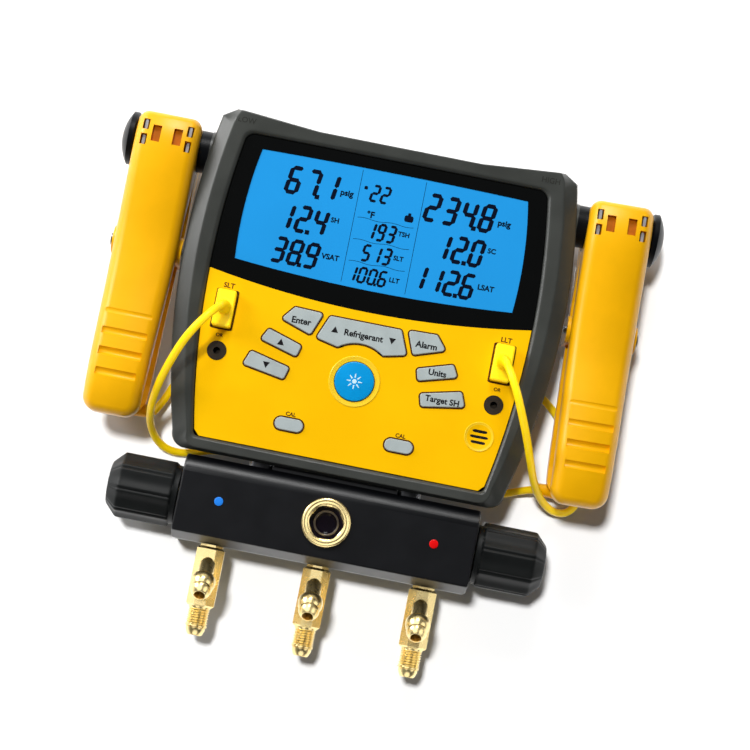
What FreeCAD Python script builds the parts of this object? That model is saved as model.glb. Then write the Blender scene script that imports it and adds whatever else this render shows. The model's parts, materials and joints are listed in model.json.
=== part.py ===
import FreeCAD, Part
import math
import os

# Refrigerant manifold gauge, lying on its back as it is stored and used on a bench.
# Millimetres. +X is the gauge's right, +Y its top, +Z out of its display.
# The origin is on the surface it lies on, under the middle of the gauge's box.

Vector = FreeCAD.Vector
X_AXIS = Vector(1, 0, 0)
Y_AXIS = Vector(0, 1, 0)
Z_AXIS = Vector(0, 0, 1)

# Heights of the main stack, along Y
housing_height = 175.0
neck_gap = 1.8
block_height = 42.4
tee_length = 31.4
flare_thread_length = 9.6
flare_nose_length = 5.0
overall_height = (housing_height + neck_gap + block_height + tee_length
                  + flare_thread_length + flare_nose_length)
housing_bottom_y = overall_height / 2 - housing_height
block_top_y = housing_bottom_y - neck_gap
block_middle_y = block_top_y - block_height / 2
block_bottom_y = block_top_y - block_height

# Housing outline, as heights above its bottom edge and half widths
notch_drop = 3.5
notch_half = 42.0
shoulder_half = 85.0
corner_half = shoulder_half + 7.0
corner_drop = 4.5
widest_half = shoulder_half + 13.0
widest_height = 0.594 * housing_height
foot_half = shoulder_half - 0.4
foot_height = 8.0
foot_corner_half = foot_half - 8.1

# Levels of the housing, along Z
foot_thickness = 2.0
case_back_z = 16.0
case_bend_z = 20.0
parting_z = 39.0
bezel_front_z = 44.0
plate_front_z = 42.0
plate_thickness = 1.8
board_top_z = 36.8
board_thickness = 1.6
case_wall = 2.2
case_back_inset = 6.0
case_bend_inset = 1.5
bezel_side_inset = 7.6
bezel_shoulder_inset = 1.8
bezel_end_inset = 0.9
ledge_width = 3.0
plate_clearance = 0.15

# Opening of the bezel that takes the display surround and the keypad panel
opening_top = housing_height - 11.8
opening_corner = 5.2
opening_corner_half = shoulder_half - 6.8
opening_top_half = opening_corner_half - opening_corner
opening_corner_height = opening_top - opening_corner
opening_widest_half = widest_half - 15.4
opening_widest_height = 0.5714 * housing_height
opening_foot_half = foot_half - 10.8
opening_foot_height = 10.0
opening_bottom = 7.1
opening_bottom_half = opening_foot_half - 2.8
opening_bevel = 2.0
seam_side_height = 0.5263 * housing_height
seam_middle_height = seam_side_height - 7.5
seam_half = opening_widest_half + 1.4

# Liquid crystal display
lcd_top = opening_top - 5.9
lcd_top_corner = lcd_top - 0.8
lcd_top_half = opening_corner_half - 9.5
lcd_side_half = lcd_top_half + 3.3
lcd_bottom_half = lcd_top_half + 2.6
lcd_bottom_corner = seam_side_height + 6.5
lcd_bottom = lcd_bottom_corner - 3.2
lcd_side_height = (lcd_top_corner + lcd_bottom_corner) / 2 - 1.5
lcd_recess = 0.3
lcd_frame = 2.6

# Keys, as heights above the housing's bottom edge
key_proud = 1.0
key_clearance = 0.3
key_flange = 1.2
key_flange_thickness = 1.4
key_travel = 0.8
key_corner = 1.4
key_edge = 0.35
power_radius = 10.0
power_height = 48.9
power_halo_radius = 12.3
power_halo_depth = 0.7
select_arc_gap = 9.3
cal_half_spacing = 27.9
cal_height = 21.3
cal_length = 14.3
cal_width = 6.3
side_keys = {
    "upper": [(36.4, 80.1), (21.7, 79.6), (26.2, 67.7), (42.1, 73.0)],
    "middle": [(47.2, 66.9), (29.4, 61.4), (31.0, 55.4), (50.3, 60.8)],
    "lower": [(53.8, 54.2), (33.3, 49.4), (35.0, 43.0), (56.6, 46.7)],
}
select_top_half = 18.2
select_top = 79.1
select_side_half = 23.1
select_side = 66.9
select_foot_half = 11.6

# Thermocouple plugs and round jacks
socket_inset = 14.0
plug_half_spacing = shoulder_half - socket_inset
plug_height = 72.1
plug_width = 9.6
plug_length = 18.8
plug_top_z = 48.0
plug_neck_length = 3.0
plug_slot_clearance = 0.5
plug_blade_width = 2.8
plug_blade_thickness = 0.8
plug_blade_spacing = 7.9
plug_blade_length = 6.0
blade_clearance = 0.1
socket_height = 7.5
socket_flange = 1.6
socket_flange_thickness = 1.0
jack_inset = 0.3
jack_half_spacing = plug_half_spacing - jack_inset
jack_height = 50.9
jack_radius = 4.8
jack_bore_radius = 1.8
jack_proud = 0.25

# Speaker
speaker_inset = 18.1
speaker_x = foot_half - speaker_inset
speaker_height = 33.8
speaker_dish_radius = 6.2
speaker_dish_depth = 0.8
speaker_slot_pitch = 2.75
speaker_slot_height = 1.1
speaker_slot_lengths = [7.4, 9.2, 7.4]
speaker_radius = 8.0
speaker_thickness = 3.0

# Battery box on the back of the case
bulge_half = 34.0
bulge_height = 68.0
bulge_top = housing_height - 57.0
bulge_bottom = bulge_top - bulge_height
bulge_corner = 6.0
bulge_edge = 2.0
bulge_wall = 3.2
door_half = bulge_half - 3.5
door_bottom = bulge_bottom + 4.5
door_top = bulge_top - 17.0
door_thickness = 1.6
door_clearance = 0.2
door_lip = 1.6
door_screw_inset = 5.0
door_screw_length = 1.8
cell_radius = 7.1
cell_length = 42.0
cell_count = 4
cell_gap = 0.2

# Feet
foot_radius = 5.0
upper_foot_x = bulge_half - 7.0
upper_foot_height = bulge_top - 8.0
lower_foot_x = 62.0

# Fixings
screw_radius = 1.5
screw_head_radius = 2.8
screw_head_height = 2.0
screw_clearance = 0.1
boss_radius = 3.8
case_screw_places = [(shoulder_half - 2.0, housing_height - 25.0), (shoulder_half + 2.0, 80.0),
                     (foot_half - 5.6, 17.0)]
case_screw_tip_z = 41.2

# Circuit board
board_post_inset = 27.0
board_post_half = shoulder_half - board_post_inset
board_post_heights = [24.0, housing_height - 41.0]
board_chips = [(-30.0, 60.0, 14.0, 14.0), (8.0, 66.0, 10.0, 8.0), (26.0, 40.0, 9.0, 12.0), (-14.0, 32.0, 6.0, 9.0)]
chip_thickness = 1.4

# Hanging hook
hook_pivot_height = housing_height - 18.0
hook_pivot_z = 11.5
hook_pin_radius = 2.0
pin_clearance = 0.05
hook_barrel_radius = 3.6
hook_barrel_half = 9.0
hook_lug_gap = 0.4
hook_lug_width = 4.0
hook_lug_radius = 4.0
hook_ring_drop = 22.5
hook_ring_radius = 13.0
hook_ring_bore = 8.0
hook_thickness = 4.0
hook_shank_half = 5.0
hook_mouth = 9.0

# Neck bracket between the case and the manifold block
bracket_half = 32.0
bracket_plate_height = 40.0
bracket_plate_thickness = 2.6
bracket_flange_thickness = 1.5
bracket_corner = 3.0
bracket_flange_top_z = 33.0
bracket_screw_x = 22.0
bracket_screw_heights = [14.0, 32.0]
bracket_block_screw_x = 15.0
bracket_block_screw_z = 26.0
bracket_block_screw_length = 9.0

# Manifold block
block_half = 75.0
block_depth = 40.0
block_edge_radius = 6.5
block_end_chamfer = 0.8
block_middle_z = foot_thickness + block_depth / 2
block_front_z = foot_thickness + block_depth
block_back_z = foot_thickness
port_pitch = 54.4

# Sight glass
sight_flange_radius = 12.4
sight_flange_height = 1.8
sight_body_radius = 10.5
sight_body_depth = 10.0
sight_hex_flat = 16.4
sight_hex_depth = 7.5
sight_bore_radius = 7.4
sight_glass_thickness = 3.0
sight_clearance = 0.05
sight_window_radius = 5.9

# Hand valves
valve_bore_radius = 6.0
valve_bore_depth = 34.0
valve_passage_radius = 3.0
stem_radius = 4.0
stem_running_clearance = 0.05
packing_radius = 7.0
packing_depth = 8.0
packing_proud = 0.3
knob_radius = 16.7
knob_length = 35.6
knob_gap = 0.9
knob_chamfer = 6.2
knob_flats = 9
knob_flat_radius = 15.9
knob_grip_start = 3.0
knob_bore_depth = 24.0
knob_cap_radius = 6.0
knob_cap_depth = 1.2

# Flare tees
tee_flat = 14.0
tee_chamfer = 1.0
tee_spigot_radius = 5.0
tee_spigot_length = 8.0
spigot_clearance = 0.05
flare_thread_radius = 5.55
flare_nose_radius = 4.9
flare_nose_tip_radius = 3.6
flare_bore_radius = 2.4
flare_bore_depth = 16.0
angle_port_drop = 5.3
angle_port_tilt = 45.0
angle_port_length = 29.2
angle_neck_radius = 3.8
angle_thread_start = 12.6
angle_thread_end = 22.4
angle_thread_radius = 5.55
angle_nose_radius = 4.9
angle_tip_radius = 4.2
angle_bore_radius = 2.75
angle_bore_depth = 12.0

# Pressure sensors
sensor_x = 38.0
sensor_z = 28.0
sensor_radius = 6.0
sensor_pocket_depth = 8.0
sensor_rise = 9.0
sensor_clearance = 0.3

# Storage posts at the sides of the case
post_radius = 10.8
post_height = housing_height - 23.0
post_z = 27.5
post_root_proud = 0.67
post_boss_margin = 0.4
post_boss_depth = 9.6
post_length = 38.4
post_disc_radius = 13.7
post_disc_thickness = 3.2
post_dome_thickness = 4.2
post_stub_radius = 4.0
post_stub_length = 6.0

# Pipe clamps
clamp_reach = 21.4
right_clamp_lean = 1.6
clamp_half = 16.25
clamp_foot_half = 14.2
clamp_top = post_height + 12.8
front_arm_foot = 9.2
rear_arm_foot = 15.0
clamp_corner = 5.6
clamp_foot_corner = 7.5
clamp_edge = 5.2
clamp_pivot_drop = 53.4
jaw_back = 19.5
waist_back = 15.5
handle_back = 22.0
handle_thickness = 8.5
jaw_gap = 0.8
jaw_plate_thickness = 0.8
jaw_clearance = 0.5
jaw_seat_gap = 0.05
jaw_plate_half = 14.5
jaw_plate_angle = 62.0
ear_thickness = 3.2
ear_gap = 0.4
ear_radius = 7.0
outer_ear_proud = 1.6
pivot_pin_radius = 2.0
pivot_pin_overhang = 1.4
pivot_head_radius = 3.2
pivot_head_thickness = 1.2
groove_first_drop = 38.3
groove_pitch = 10.5
groove_count = 4
groove_radius = 2.2
groove_depth = 0.7
groove_half = 12.0
groove_shorter = 0.6
small_window = (3.2, 5.6)
small_window_x = 11.3
small_window_rise = 4.0
large_window = (4.4, 8.6)
large_window_x = 5.4
large_window_depth = 4.5
spring_wire = 1.5
spring_turns = 4
spring_gap = 0.4
spring_leg = 16.0
relief_radius = 3.0
relief_length = 4.0
relief_root = 7.0
relief_height = 17.0
relief_z = 8.6

# Cords
cord_radius = 2.0
coil_inner_radius = 18.0
coil_outer_radius = 26.0
coil_height = 12.2
coil_floor = 0.2
coil_x = 61.0
coil_center_height = 28.5
coil_edge = 1.6


def above(height):
    """Y of a height above the housing's bottom edge."""
    return housing_bottom_y + height


def box(x0, x1, y0, y1, z0, z1):
    """Box between two corners."""
    return Part.makeBox(x1 - x0, y1 - y0, z1 - z0, Vector(x0, y0, z0))


def rod(radius, start, direction, length):
    """Cylinder from a start point along a direction."""
    return Part.makeCylinder(radius, length, Vector(*start), Vector(*direction))


def cone(radius1, radius2, start, direction, length):
    """Cone frustum from a start point along a direction."""
    return Part.makeCone(radius1, radius2, length, Vector(*start), Vector(*direction))


def housing_half(height):
    """Half width of the housing at a height, on the circle through its three side points."""
    x1, y1 = corner_half, housing_height - corner_drop
    x2, y2 = widest_half, widest_height
    x3, y3 = foot_half, foot_height
    d = 2 * (x1 * (y2 - y3) + x2 * (y3 - y1) + x3 * (y1 - y2))
    s1, s2, s3 = x1 ** 2 + y1 ** 2, x2 ** 2 + y2 ** 2, x3 ** 2 + y3 ** 2
    cx = (s1 * (y2 - y3) + s2 * (y3 - y1) + s3 * (y1 - y2)) / d
    cy = (s1 * (x3 - x2) + s2 * (x1 - x3) + s3 * (x2 - x1)) / d
    radius = math.hypot(x1 - cx, y1 - cy)
    return cx + math.sqrt(radius ** 2 - (height - cy) ** 2)


# Places along X that follow from the housing's side
post_root_x = housing_half(post_height) + post_root_proud
post_disc_x = post_root_x + post_length
clamp_x = post_root_x + clamp_reach


def line(p, q):
    return Part.LineSegment(Vector(*p), Vector(*q)).toShape()


def arc(p, q, r):
    return Part.Arc(Vector(*p), Vector(*q), Vector(*r)).toShape()


def prism(wire, z0, z1):
    """Solid over a flat wire, between two levels of Z."""
    face = Part.Face(wire)
    face.translate(Vector(0, 0, z0 - wire.BoundBox.ZMin))
    return face.extrude(Vector(0, 0, z1 - z0))


def polygon(points):
    """Closed flat wire through (x, y) points."""
    corners = [Vector(x, y, 0) for x, y in points]
    return Part.makePolygon(corners + [corners[0]])


def round_uprights(solid, radius):
    """Fillet the edges of a prism that run along Z."""
    edges = [e for e in solid.Edges if is_upright(e)]
    return solid.makeFillet(radius, edges)


def is_upright(edge):
    """Whether an edge is a straight one along Z."""
    if not isinstance(edge.Curve, (Part.Line, Part.LineSegment)):
        return False
    return abs(abs(edge.tangentAt(edge.FirstParameter).z) - 1) < 1e-6


def edges_at(solid, z):
    """Edges that lie at one level of Z."""
    return [e for e in solid.Edges
            if abs(e.BoundBox.ZMin - z) < 1e-4 and abs(e.BoundBox.ZMax - z) < 1e-4]


def mirrored(shape):
    """The same piece on the gauge's other side."""
    return shape.mirror(Vector(0, 0, 0), X_AXIS)


def clamp_placed(shape, side):
    """A clamp's piece on its side. The right clamp hangs a little askew on its post."""
    placed_shape = sided(shape, side)
    if side < 0:
        return placed_shape
    turned = placed_shape.copy()
    turned.rotate(Vector(clamp_x, above(post_height), post_z), Z_AXIS, right_clamp_lean)
    return turned


def sided(shape, side):
    """A piece drawn for the right side, put on the side given by +1 or -1."""
    if side > 0:
        return shape
    return mirrored(shape)


def save(node, shape):
    """Write one node, and say what it holds."""
    shape = shape.removeSplitter() if len(shape.Solids) == 1 else shape
    shape.exportStep("parts/" + node + ".step")
    state = "valid" if shape.isValid() else "INVALID"
    print(node, len(shape.Solids), "solids", round(shape.Volume, 1), "mm3", state)


def housing_wire(inset):
    """Outline of the housing, drawn in by an inset."""
    top = above(housing_height)
    notch = top - notch_drop
    corner = top - corner_drop
    bottom = housing_bottom_y
    foot = above(foot_height)
    turn_x = foot_half - 2.3
    turn_y = bottom + 2.2
    edges = [
        line((-notch_half, notch, 0), (notch_half, notch, 0)),
        line((notch_half, notch, 0), (shoulder_half, top, 0)),
        line((shoulder_half, top, 0), (corner_half, corner, 0)),
        arc((corner_half, corner, 0), (widest_half, above(widest_height), 0), (foot_half, foot, 0)),
        arc((foot_half, foot, 0), (turn_x, turn_y, 0), (foot_corner_half, bottom, 0)),
        line((foot_corner_half, bottom, 0), (-foot_corner_half, bottom, 0)),
        arc((-foot_corner_half, bottom, 0), (-turn_x, turn_y, 0), (-foot_half, foot, 0)),
        arc((-foot_half, foot, 0), (-widest_half, above(widest_height), 0), (-corner_half, corner, 0)),
        line((-corner_half, corner, 0), (-shoulder_half, top, 0)),
        line((-shoulder_half, top, 0), (-notch_half, notch, 0)),
    ]
    wire = Part.Wire(edges)
    if inset == 0:
        return wire
    return wire.makeOffset2D(-inset, 2)


def housing_front_wire():
    """Outline of the housing's front face: drawn in at the sloped sides, hardly at its ends."""
    end = bezel_end_inset
    side = bezel_side_inset
    top = above(housing_height) - end
    notch = above(housing_height) - notch_drop - end
    corner = above(housing_height) - corner_drop - end
    bottom = housing_bottom_y + end
    foot = above(foot_height)
    shoulder = shoulder_half - bezel_shoulder_inset
    foot_corner = foot_corner_half - side / 3
    turn_x = foot_half - side - 1.2
    turn_y = bottom + 2.2
    edges = [
        line((-notch_half, notch, 0), (notch_half, notch, 0)),
        line((notch_half, notch, 0), (shoulder, top, 0)),
        line((shoulder, top, 0), (corner_half - side, corner, 0)),
        arc((corner_half - side, corner, 0), (widest_half - side, above(widest_height), 0),
            (foot_half - side, foot, 0)),
        arc((foot_half - side, foot, 0), (turn_x, turn_y, 0), (foot_corner, bottom, 0)),
        line((foot_corner, bottom, 0), (-foot_corner, bottom, 0)),
        arc((-foot_corner, bottom, 0), (-turn_x, turn_y, 0), (-foot_half + side, foot, 0)),
        arc((-foot_half + side, foot, 0), (-widest_half + side, above(widest_height), 0),
            (-corner_half + side, corner, 0)),
        line((-corner_half + side, corner, 0), (-shoulder, top, 0)),
        line((-shoulder, top, 0), (-notch_half, notch, 0)),
    ]
    return Part.Wire(edges)


def opening_wire(grow):
    """Outline of the bezel's opening, grown outwards, or inwards when negative."""
    top = above(opening_top) + grow
    bottom = above(opening_bottom) - grow
    corner = above(opening_corner_height)
    shift = grow * (math.sqrt(2) - 1)
    foot = above(opening_foot_height) - shift
    widest = above(opening_widest_height)
    corner_half = opening_corner_half + grow
    widest_reach = opening_widest_half + grow
    foot_half_here = opening_foot_half + grow
    bottom_half = opening_bottom_half + shift
    turn_x = opening_top_half + (opening_corner + grow) * math.sqrt(0.5)
    turn_y = corner + (opening_corner + grow) * math.sqrt(0.5)
    edges = [
        line((-opening_top_half, top, 0), (opening_top_half, top, 0)),
        arc((opening_top_half, top, 0), (turn_x, turn_y, 0), (corner_half, corner, 0)),
        arc((corner_half, corner, 0), (widest_reach, widest, 0), (foot_half_here, foot, 0)),
        line((foot_half_here, foot, 0), (bottom_half, bottom, 0)),
        line((bottom_half, bottom, 0), (-bottom_half, bottom, 0)),
        line((-bottom_half, bottom, 0), (-foot_half_here, foot, 0)),
        arc((-foot_half_here, foot, 0), (-widest_reach, widest, 0), (-corner_half, corner, 0)),
        arc((-corner_half, corner, 0), (-turn_x, turn_y, 0), (-opening_top_half, top, 0)),
    ]
    return Part.Wire(edges)


def stack(wires_and_levels):
    """Solid through outlines at rising levels of Z, with straight walls between them."""
    wires = []
    for wire, z in wires_and_levels:
        moved = wire.copy()
        moved.translate(Vector(0, 0, z))
        wires.append(moved)
    return Part.makeLoft(wires, True, True)


def seam_region(offset, upper):
    """Tool above or below the curved seam between display and keypad, set off from it."""
    side = above(seam_side_height) + offset
    middle = above(seam_middle_height) + offset
    limit = above(housing_height) if upper else housing_bottom_y - 1
    edges = [
        arc((-seam_half, side, 0), (0, middle, 0), (seam_half, side, 0)),
        line((seam_half, side, 0), (seam_half, limit, 0)),
        line((seam_half, limit, 0), (-seam_half, limit, 0)),
        line((-seam_half, limit, 0), (-seam_half, side, 0)),
    ]
    return prism(Part.Wire(edges), case_back_z, bezel_front_z + 1)


def lcd_wire(grow):
    """Barrel-shaped outline of the display."""
    top = above(lcd_top_corner)
    bottom = above(lcd_bottom_corner)
    middle = above(lcd_side_height)
    edges = [
        arc((-lcd_top_half, top, 0), (0, above(lcd_top), 0), (lcd_top_half, top, 0)),
        arc((lcd_top_half, top, 0), (lcd_side_half, middle, 0), (lcd_bottom_half, bottom, 0)),
        arc((lcd_bottom_half, bottom, 0), (0, above(lcd_bottom), 0), (-lcd_bottom_half, bottom, 0)),
        arc((-lcd_bottom_half, bottom, 0), (-lcd_side_half, middle, 0), (-lcd_top_half, top, 0)),
    ]
    wire = Part.Wire(edges)
    if grow == 0:
        return wire
    return wire.makeOffset2D(grow, 2)


def post_bosses(margin):
    """Round roots of the storage posts, at both sides."""
    start = (post_root_x - post_boss_depth, above(post_height), post_z)
    right = rod(post_radius + margin, start, (1, 0, 0), post_boss_depth)
    return right.fuse(mirrored(right))


def case_screw_spots():
    spots = []
    for x, height in case_screw_places:
        spots.append((x, above(height)))
        spots.append((-x, above(height)))
    return spots


def bulge_prism(inset, z0, z1):
    corner = bulge_corner - inset
    solid = box(-bulge_half + inset, bulge_half - inset,
                above(bulge_bottom) + inset, above(bulge_top) - inset, z0, z1)
    return round_uprights(solid, corner)


def make_rear_case():
    """Back shell with its battery box, screw bosses, post roots and hook lugs."""
    outer = stack([(housing_wire(case_back_inset), case_back_z),
                   (housing_wire(case_bend_inset), case_bend_z),
                   (housing_wire(0), parting_z)])
    inner = stack([(housing_wire(case_back_inset + case_wall), case_back_z + case_wall),
                   (housing_wire(case_bend_inset + case_wall), case_bend_z + case_wall),
                   (housing_wire(case_wall), parting_z)])
    bulge = bulge_prism(0, foot_thickness, case_back_z + case_wall)
    bulge = bulge.makeChamfer(bulge_edge, edges_at(bulge, foot_thickness))
    shell = outer.fuse(bulge).cut(inner)
    shell = shell.cut(bulge_prism(bulge_wall, foot_thickness + bulge_wall, case_back_z + case_wall))
    bosses = post_bosses(post_boss_margin)
    shell = shell.fuse(bosses)
    for x, y in case_screw_spots():
        boss = rod(boss_radius, (x, y, case_back_z), (0, 0, 1), parting_z - case_back_z)
        shell = shell.fuse(boss.common(outer))
    for x, y in case_screw_spots():
        shell = shell.cut(rod(screw_radius + screw_clearance, (x, y, 0), (0, 0, 1), parting_z))
        head = rod(screw_head_radius + screw_clearance, (x, y, 0), (0, 0, 1), case_back_z + screw_head_height)
        shell = shell.cut(head)
    for x in (-bracket_screw_x, bracket_screw_x):
        for height in bracket_screw_heights:
            y = above(height)
            shell = shell.fuse(rod(boss_radius, (x, y, case_back_z), (0, 0, 1), 8.0))
            shell = shell.cut(rod(screw_radius + screw_clearance, (x, y, case_back_z), (0, 0, 1), 6.5))
    for side in (-1, 1):
        start = (side * sensor_x, housing_bottom_y - 1, sensor_z)
        shell = shell.cut(rod(sensor_radius + sensor_clearance, start, (0, 1, 0), case_wall + 4))
        stub_x = side * (post_root_x - post_stub_length)
        start = (stub_x, above(post_height), post_z)
        hole = rod(post_stub_radius + pin_clearance, start, (side, 0, 0), post_stub_length)
        shell = shell.cut(hole)
    shell = shell.cut(door_hole())
    for side in (-1, 1):
        shell = shell.fuse(hook_lug(side))
    shell = shell.cut(hook_pin(pin_clearance))
    return shell


def door_hole():
    """Opening for the battery door, with the step that the door lies in."""
    step = box(-door_half - door_clearance, door_half + door_clearance,
               above(door_bottom) - door_clearance, above(door_top) + door_clearance,
               foot_thickness, foot_thickness + door_thickness)
    through = box(-door_half + door_lip, door_half - door_lip,
                  above(door_bottom) + door_lip + door_screw_inset * 1.6,
                  above(door_top) - door_lip - door_screw_inset * 1.6,
                  foot_thickness, foot_thickness + bulge_wall + 1)
    hole = step.fuse(through)
    for x, y in door_screw_spots():
        hole = hole.fuse(rod(screw_radius + screw_clearance, (x, y, foot_thickness), (0, 0, 1), bulge_wall + 2))
    return hole


def door_screw_spots():
    spots = []
    for x in (-door_half + door_screw_inset, door_half - door_screw_inset):
        spots.append((x, above(door_bottom) + door_screw_inset))
        spots.append((x, above(door_top) - door_screw_inset))
    return spots


def make_battery_door():
    door = box(-door_half, door_half, above(door_bottom), above(door_top),
               foot_thickness, foot_thickness + door_thickness)
    for x, y in door_screw_spots():
        door = door.cut(rod(screw_radius + screw_clearance, (x, y, foot_thickness), (0, 0, 1), door_thickness))
        head = cone(screw_head_radius, screw_radius, (x, y, foot_thickness), (0, 0, 1), 1.2)
        door = door.cut(head)
    for row in range(5):
        y = above(door_top) - 13.0 - 2.4 * row
        door = door.cut(box(-9, 9, y, y + 1.0, foot_thickness, foot_thickness + 0.5))
    return door


def make_batteries():
    """Cells side by side in the battery box."""
    pitch = 2 * cell_radius + cell_gap
    first = -pitch * (cell_count - 1) / 2
    middle = above((bulge_bottom + bulge_top) / 2)
    z = foot_thickness + bulge_wall + cell_gap + cell_radius
    cells = []
    for i in range(cell_count):
        x = first + pitch * i
        body = rod(cell_radius, (x, middle - cell_length / 2, z), (0, 1, 0), cell_length)
        tip = rod(2.6, (x, middle + cell_length / 2, z), (0, 1, 0), 1.2)
        cells.append(body.fuse(tip).removeSplitter())
    return Part.makeCompound(cells)


def make_front_bezel():
    """Front frame: sloped outer band, ridge, and a bevel down to the plates."""
    solid = stack([(housing_wire(0), parting_z),
                   (housing_front_wire(), bezel_front_z)])
    plate_back_z = plate_front_z - plate_thickness
    solid = solid.cut(prism(opening_wire(0), plate_back_z, bezel_front_z + 1))
    solid = solid.cut(prism(opening_wire(-ledge_width), parting_z - 1, bezel_front_z))
    bevel = stack([(opening_wire(0), plate_front_z),
                   (opening_wire(2 * opening_bevel), plate_front_z + 2 * opening_bevel)])
    solid = solid.cut(bevel)
    for x, y in case_screw_spots():
        depth = case_screw_tip_z + 0.3 - parting_z
        solid = solid.cut(rod(screw_radius + screw_clearance, (x, y, parting_z), (0, 0, 1), depth))
    return solid


def make_display_surround():
    """Black gloss plate round the display."""
    plate = prism(opening_wire(-plate_clearance), plate_front_z - plate_thickness, plate_front_z)
    plate = plate.common(seam_region(plate_clearance / 2, True))
    return plate.cut(prism(lcd_wire(0), case_back_z, bezel_front_z))


def make_lcd_module():
    """Display glass, raised through the surround, on its frame."""
    back = plate_front_z - plate_thickness
    frame_bottom = board_top_z
    frame = prism(lcd_wire(lcd_frame), frame_bottom, back)
    frame = frame.common(seam_region(1.0, True))
    glass = prism(lcd_wire(-plate_clearance), back, plate_front_z - lcd_recess)
    return frame.fuse(glass)


def key_outline(points):
    return polygon([(x, above(height)) for x, height in points])


def select_key_wire():
    """Wide key with a round bite that is concentric with the power button."""
    centre = above(power_height)
    bite = power_radius + select_arc_gap
    foot_y = centre + math.sqrt(bite ** 2 - select_foot_half ** 2)
    top = above(select_top)
    side = above(select_side)
    edges = [
        line((-select_top_half, top, 0), (select_top_half, top, 0)),
        line((select_top_half, top, 0), (select_side_half, side, 0)),
        line((select_side_half, side, 0), (select_foot_half, foot_y, 0)),
        arc((select_foot_half, foot_y, 0), (0, centre + bite, 0), (-select_foot_half, foot_y, 0)),
        line((-select_foot_half, foot_y, 0), (-select_side_half, side, 0)),
        line((-select_side_half, side, 0), (-select_top_half, top, 0)),
    ]
    return Part.Wire(edges)


def stadium_wire(x, y, length, width):
    """Flat oval with round ends."""
    half = length / 2 - width / 2
    r = width / 2
    edges = [
        line((x - half, y + r, 0), (x + half, y + r, 0)),
        arc((x + half, y + r, 0), (x + half + r, y, 0), (x + half, y - r, 0)),
        line((x + half, y - r, 0), (x - half, y - r, 0)),
        arc((x - half, y - r, 0), (x - half - r, y, 0), (x - half, y + r, 0)),
    ]
    return Part.Wire(edges)


def circle_wire(x, y, radius):
    return Part.Wire(Part.makeCircle(radius, Vector(x, y, 0)))


def key_wires():
    """Outline of every key and button, by node name."""
    wires = {}
    for row, names in (("upper", ("key_enter", "key_alarm")),
                       ("middle", ("key_up", "key_units")),
                       ("lower", ("key_down", "key_target"))):
        corners = side_keys[row]
        wires[names[1]] = key_outline(corners)
        wires[names[0]] = key_outline([(-x, height) for x, height in corners])
    wires["key_select"] = select_key_wire()
    wires["power_button"] = circle_wire(0, above(power_height), power_radius)
    wires["cal_button_left"] = stadium_wire(-cal_half_spacing, above(cal_height), cal_length, cal_width)
    wires["cal_button_right"] = stadium_wire(cal_half_spacing, above(cal_height), cal_length, cal_width)
    return wires


def grown(wire, distance):
    return wire.makeOffset2D(distance, 2)


def make_key(wire):
    """Key cap through the panel, kept in by a flange below it."""
    plate_back = plate_front_z - plate_thickness
    flange_top = plate_back - key_clearance
    flange = prism(grown(wire, key_flange), flange_top - key_flange_thickness, flange_top)
    top = plate_front_z + key_proud
    cap = rounded_key(wire, 0, flange_top, top)
    cap = cap.makeChamfer(key_edge, edges_at(cap, top))
    return flange.fuse(cap)


def rounded_key(wire, grow, z0, z1):
    """Prism over a key's outline, grown by a clearance, with its corners rounded."""
    straight = [e for e in wire.Edges if isinstance(e.Curve, (Part.Line, Part.LineSegment))]
    outline = grown(wire, grow) if grow > 0 else wire
    solid = prism(outline, z0, z1)
    if len(straight) < 4:
        return solid
    return round_uprights(solid, key_corner + grow)


def speaker_slots(z0, z1):
    slots = []
    for i, length in enumerate(speaker_slot_lengths):
        y = above(speaker_height) + speaker_slot_pitch * (1 - i)
        slots.append(prism(stadium_wire(speaker_x, y, length, speaker_slot_height), z0, z1))
    return slots


def shallow_dish(x, y, radius, depth):
    """Ball cap that hollows the panel's front by a small depth."""
    ball = (radius ** 2 + depth ** 2) / (2 * depth)
    return Part.makeSphere(ball, Vector(x, y, plate_front_z + ball - depth))


def plug_slot(side, clearance, z0, z1):
    x = side * plug_half_spacing
    y = above(plug_height)
    half_x = plug_width / 2 + clearance
    half_y = plug_length / 2 + clearance
    return box(x - half_x, x + half_x, y - half_y, y + half_y, z0, z1)


def make_keypad_panel():
    """Yellow front plate with its key holes, sockets, dishes and speaker slots."""
    back = plate_front_z - plate_thickness
    panel = prism(opening_wire(-plate_clearance), back, plate_front_z)
    panel = panel.common(seam_region(-plate_clearance / 2, False))
    halo = shallow_dish(0, above(power_height), power_halo_radius, power_halo_depth)
    dish = shallow_dish(speaker_x, above(speaker_height), speaker_dish_radius, speaker_dish_depth)
    panel = panel.cut(halo).cut(dish)
    for wire in key_wires().values():
        panel = panel.cut(rounded_key(wire, key_clearance, back, plate_front_z + 1))
    for slot in speaker_slots(back, plate_front_z + 1):
        panel = panel.cut(slot)
    for side in (-1, 1):
        panel = panel.cut(plug_slot(side, plug_slot_clearance, back, plate_front_z + 1))
        jack = (side * jack_half_spacing, above(jack_height), back)
        panel = panel.cut(rod(jack_radius + key_clearance / 2, jack, (0, 0, 1), plate_thickness + 1))
    return panel


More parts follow.
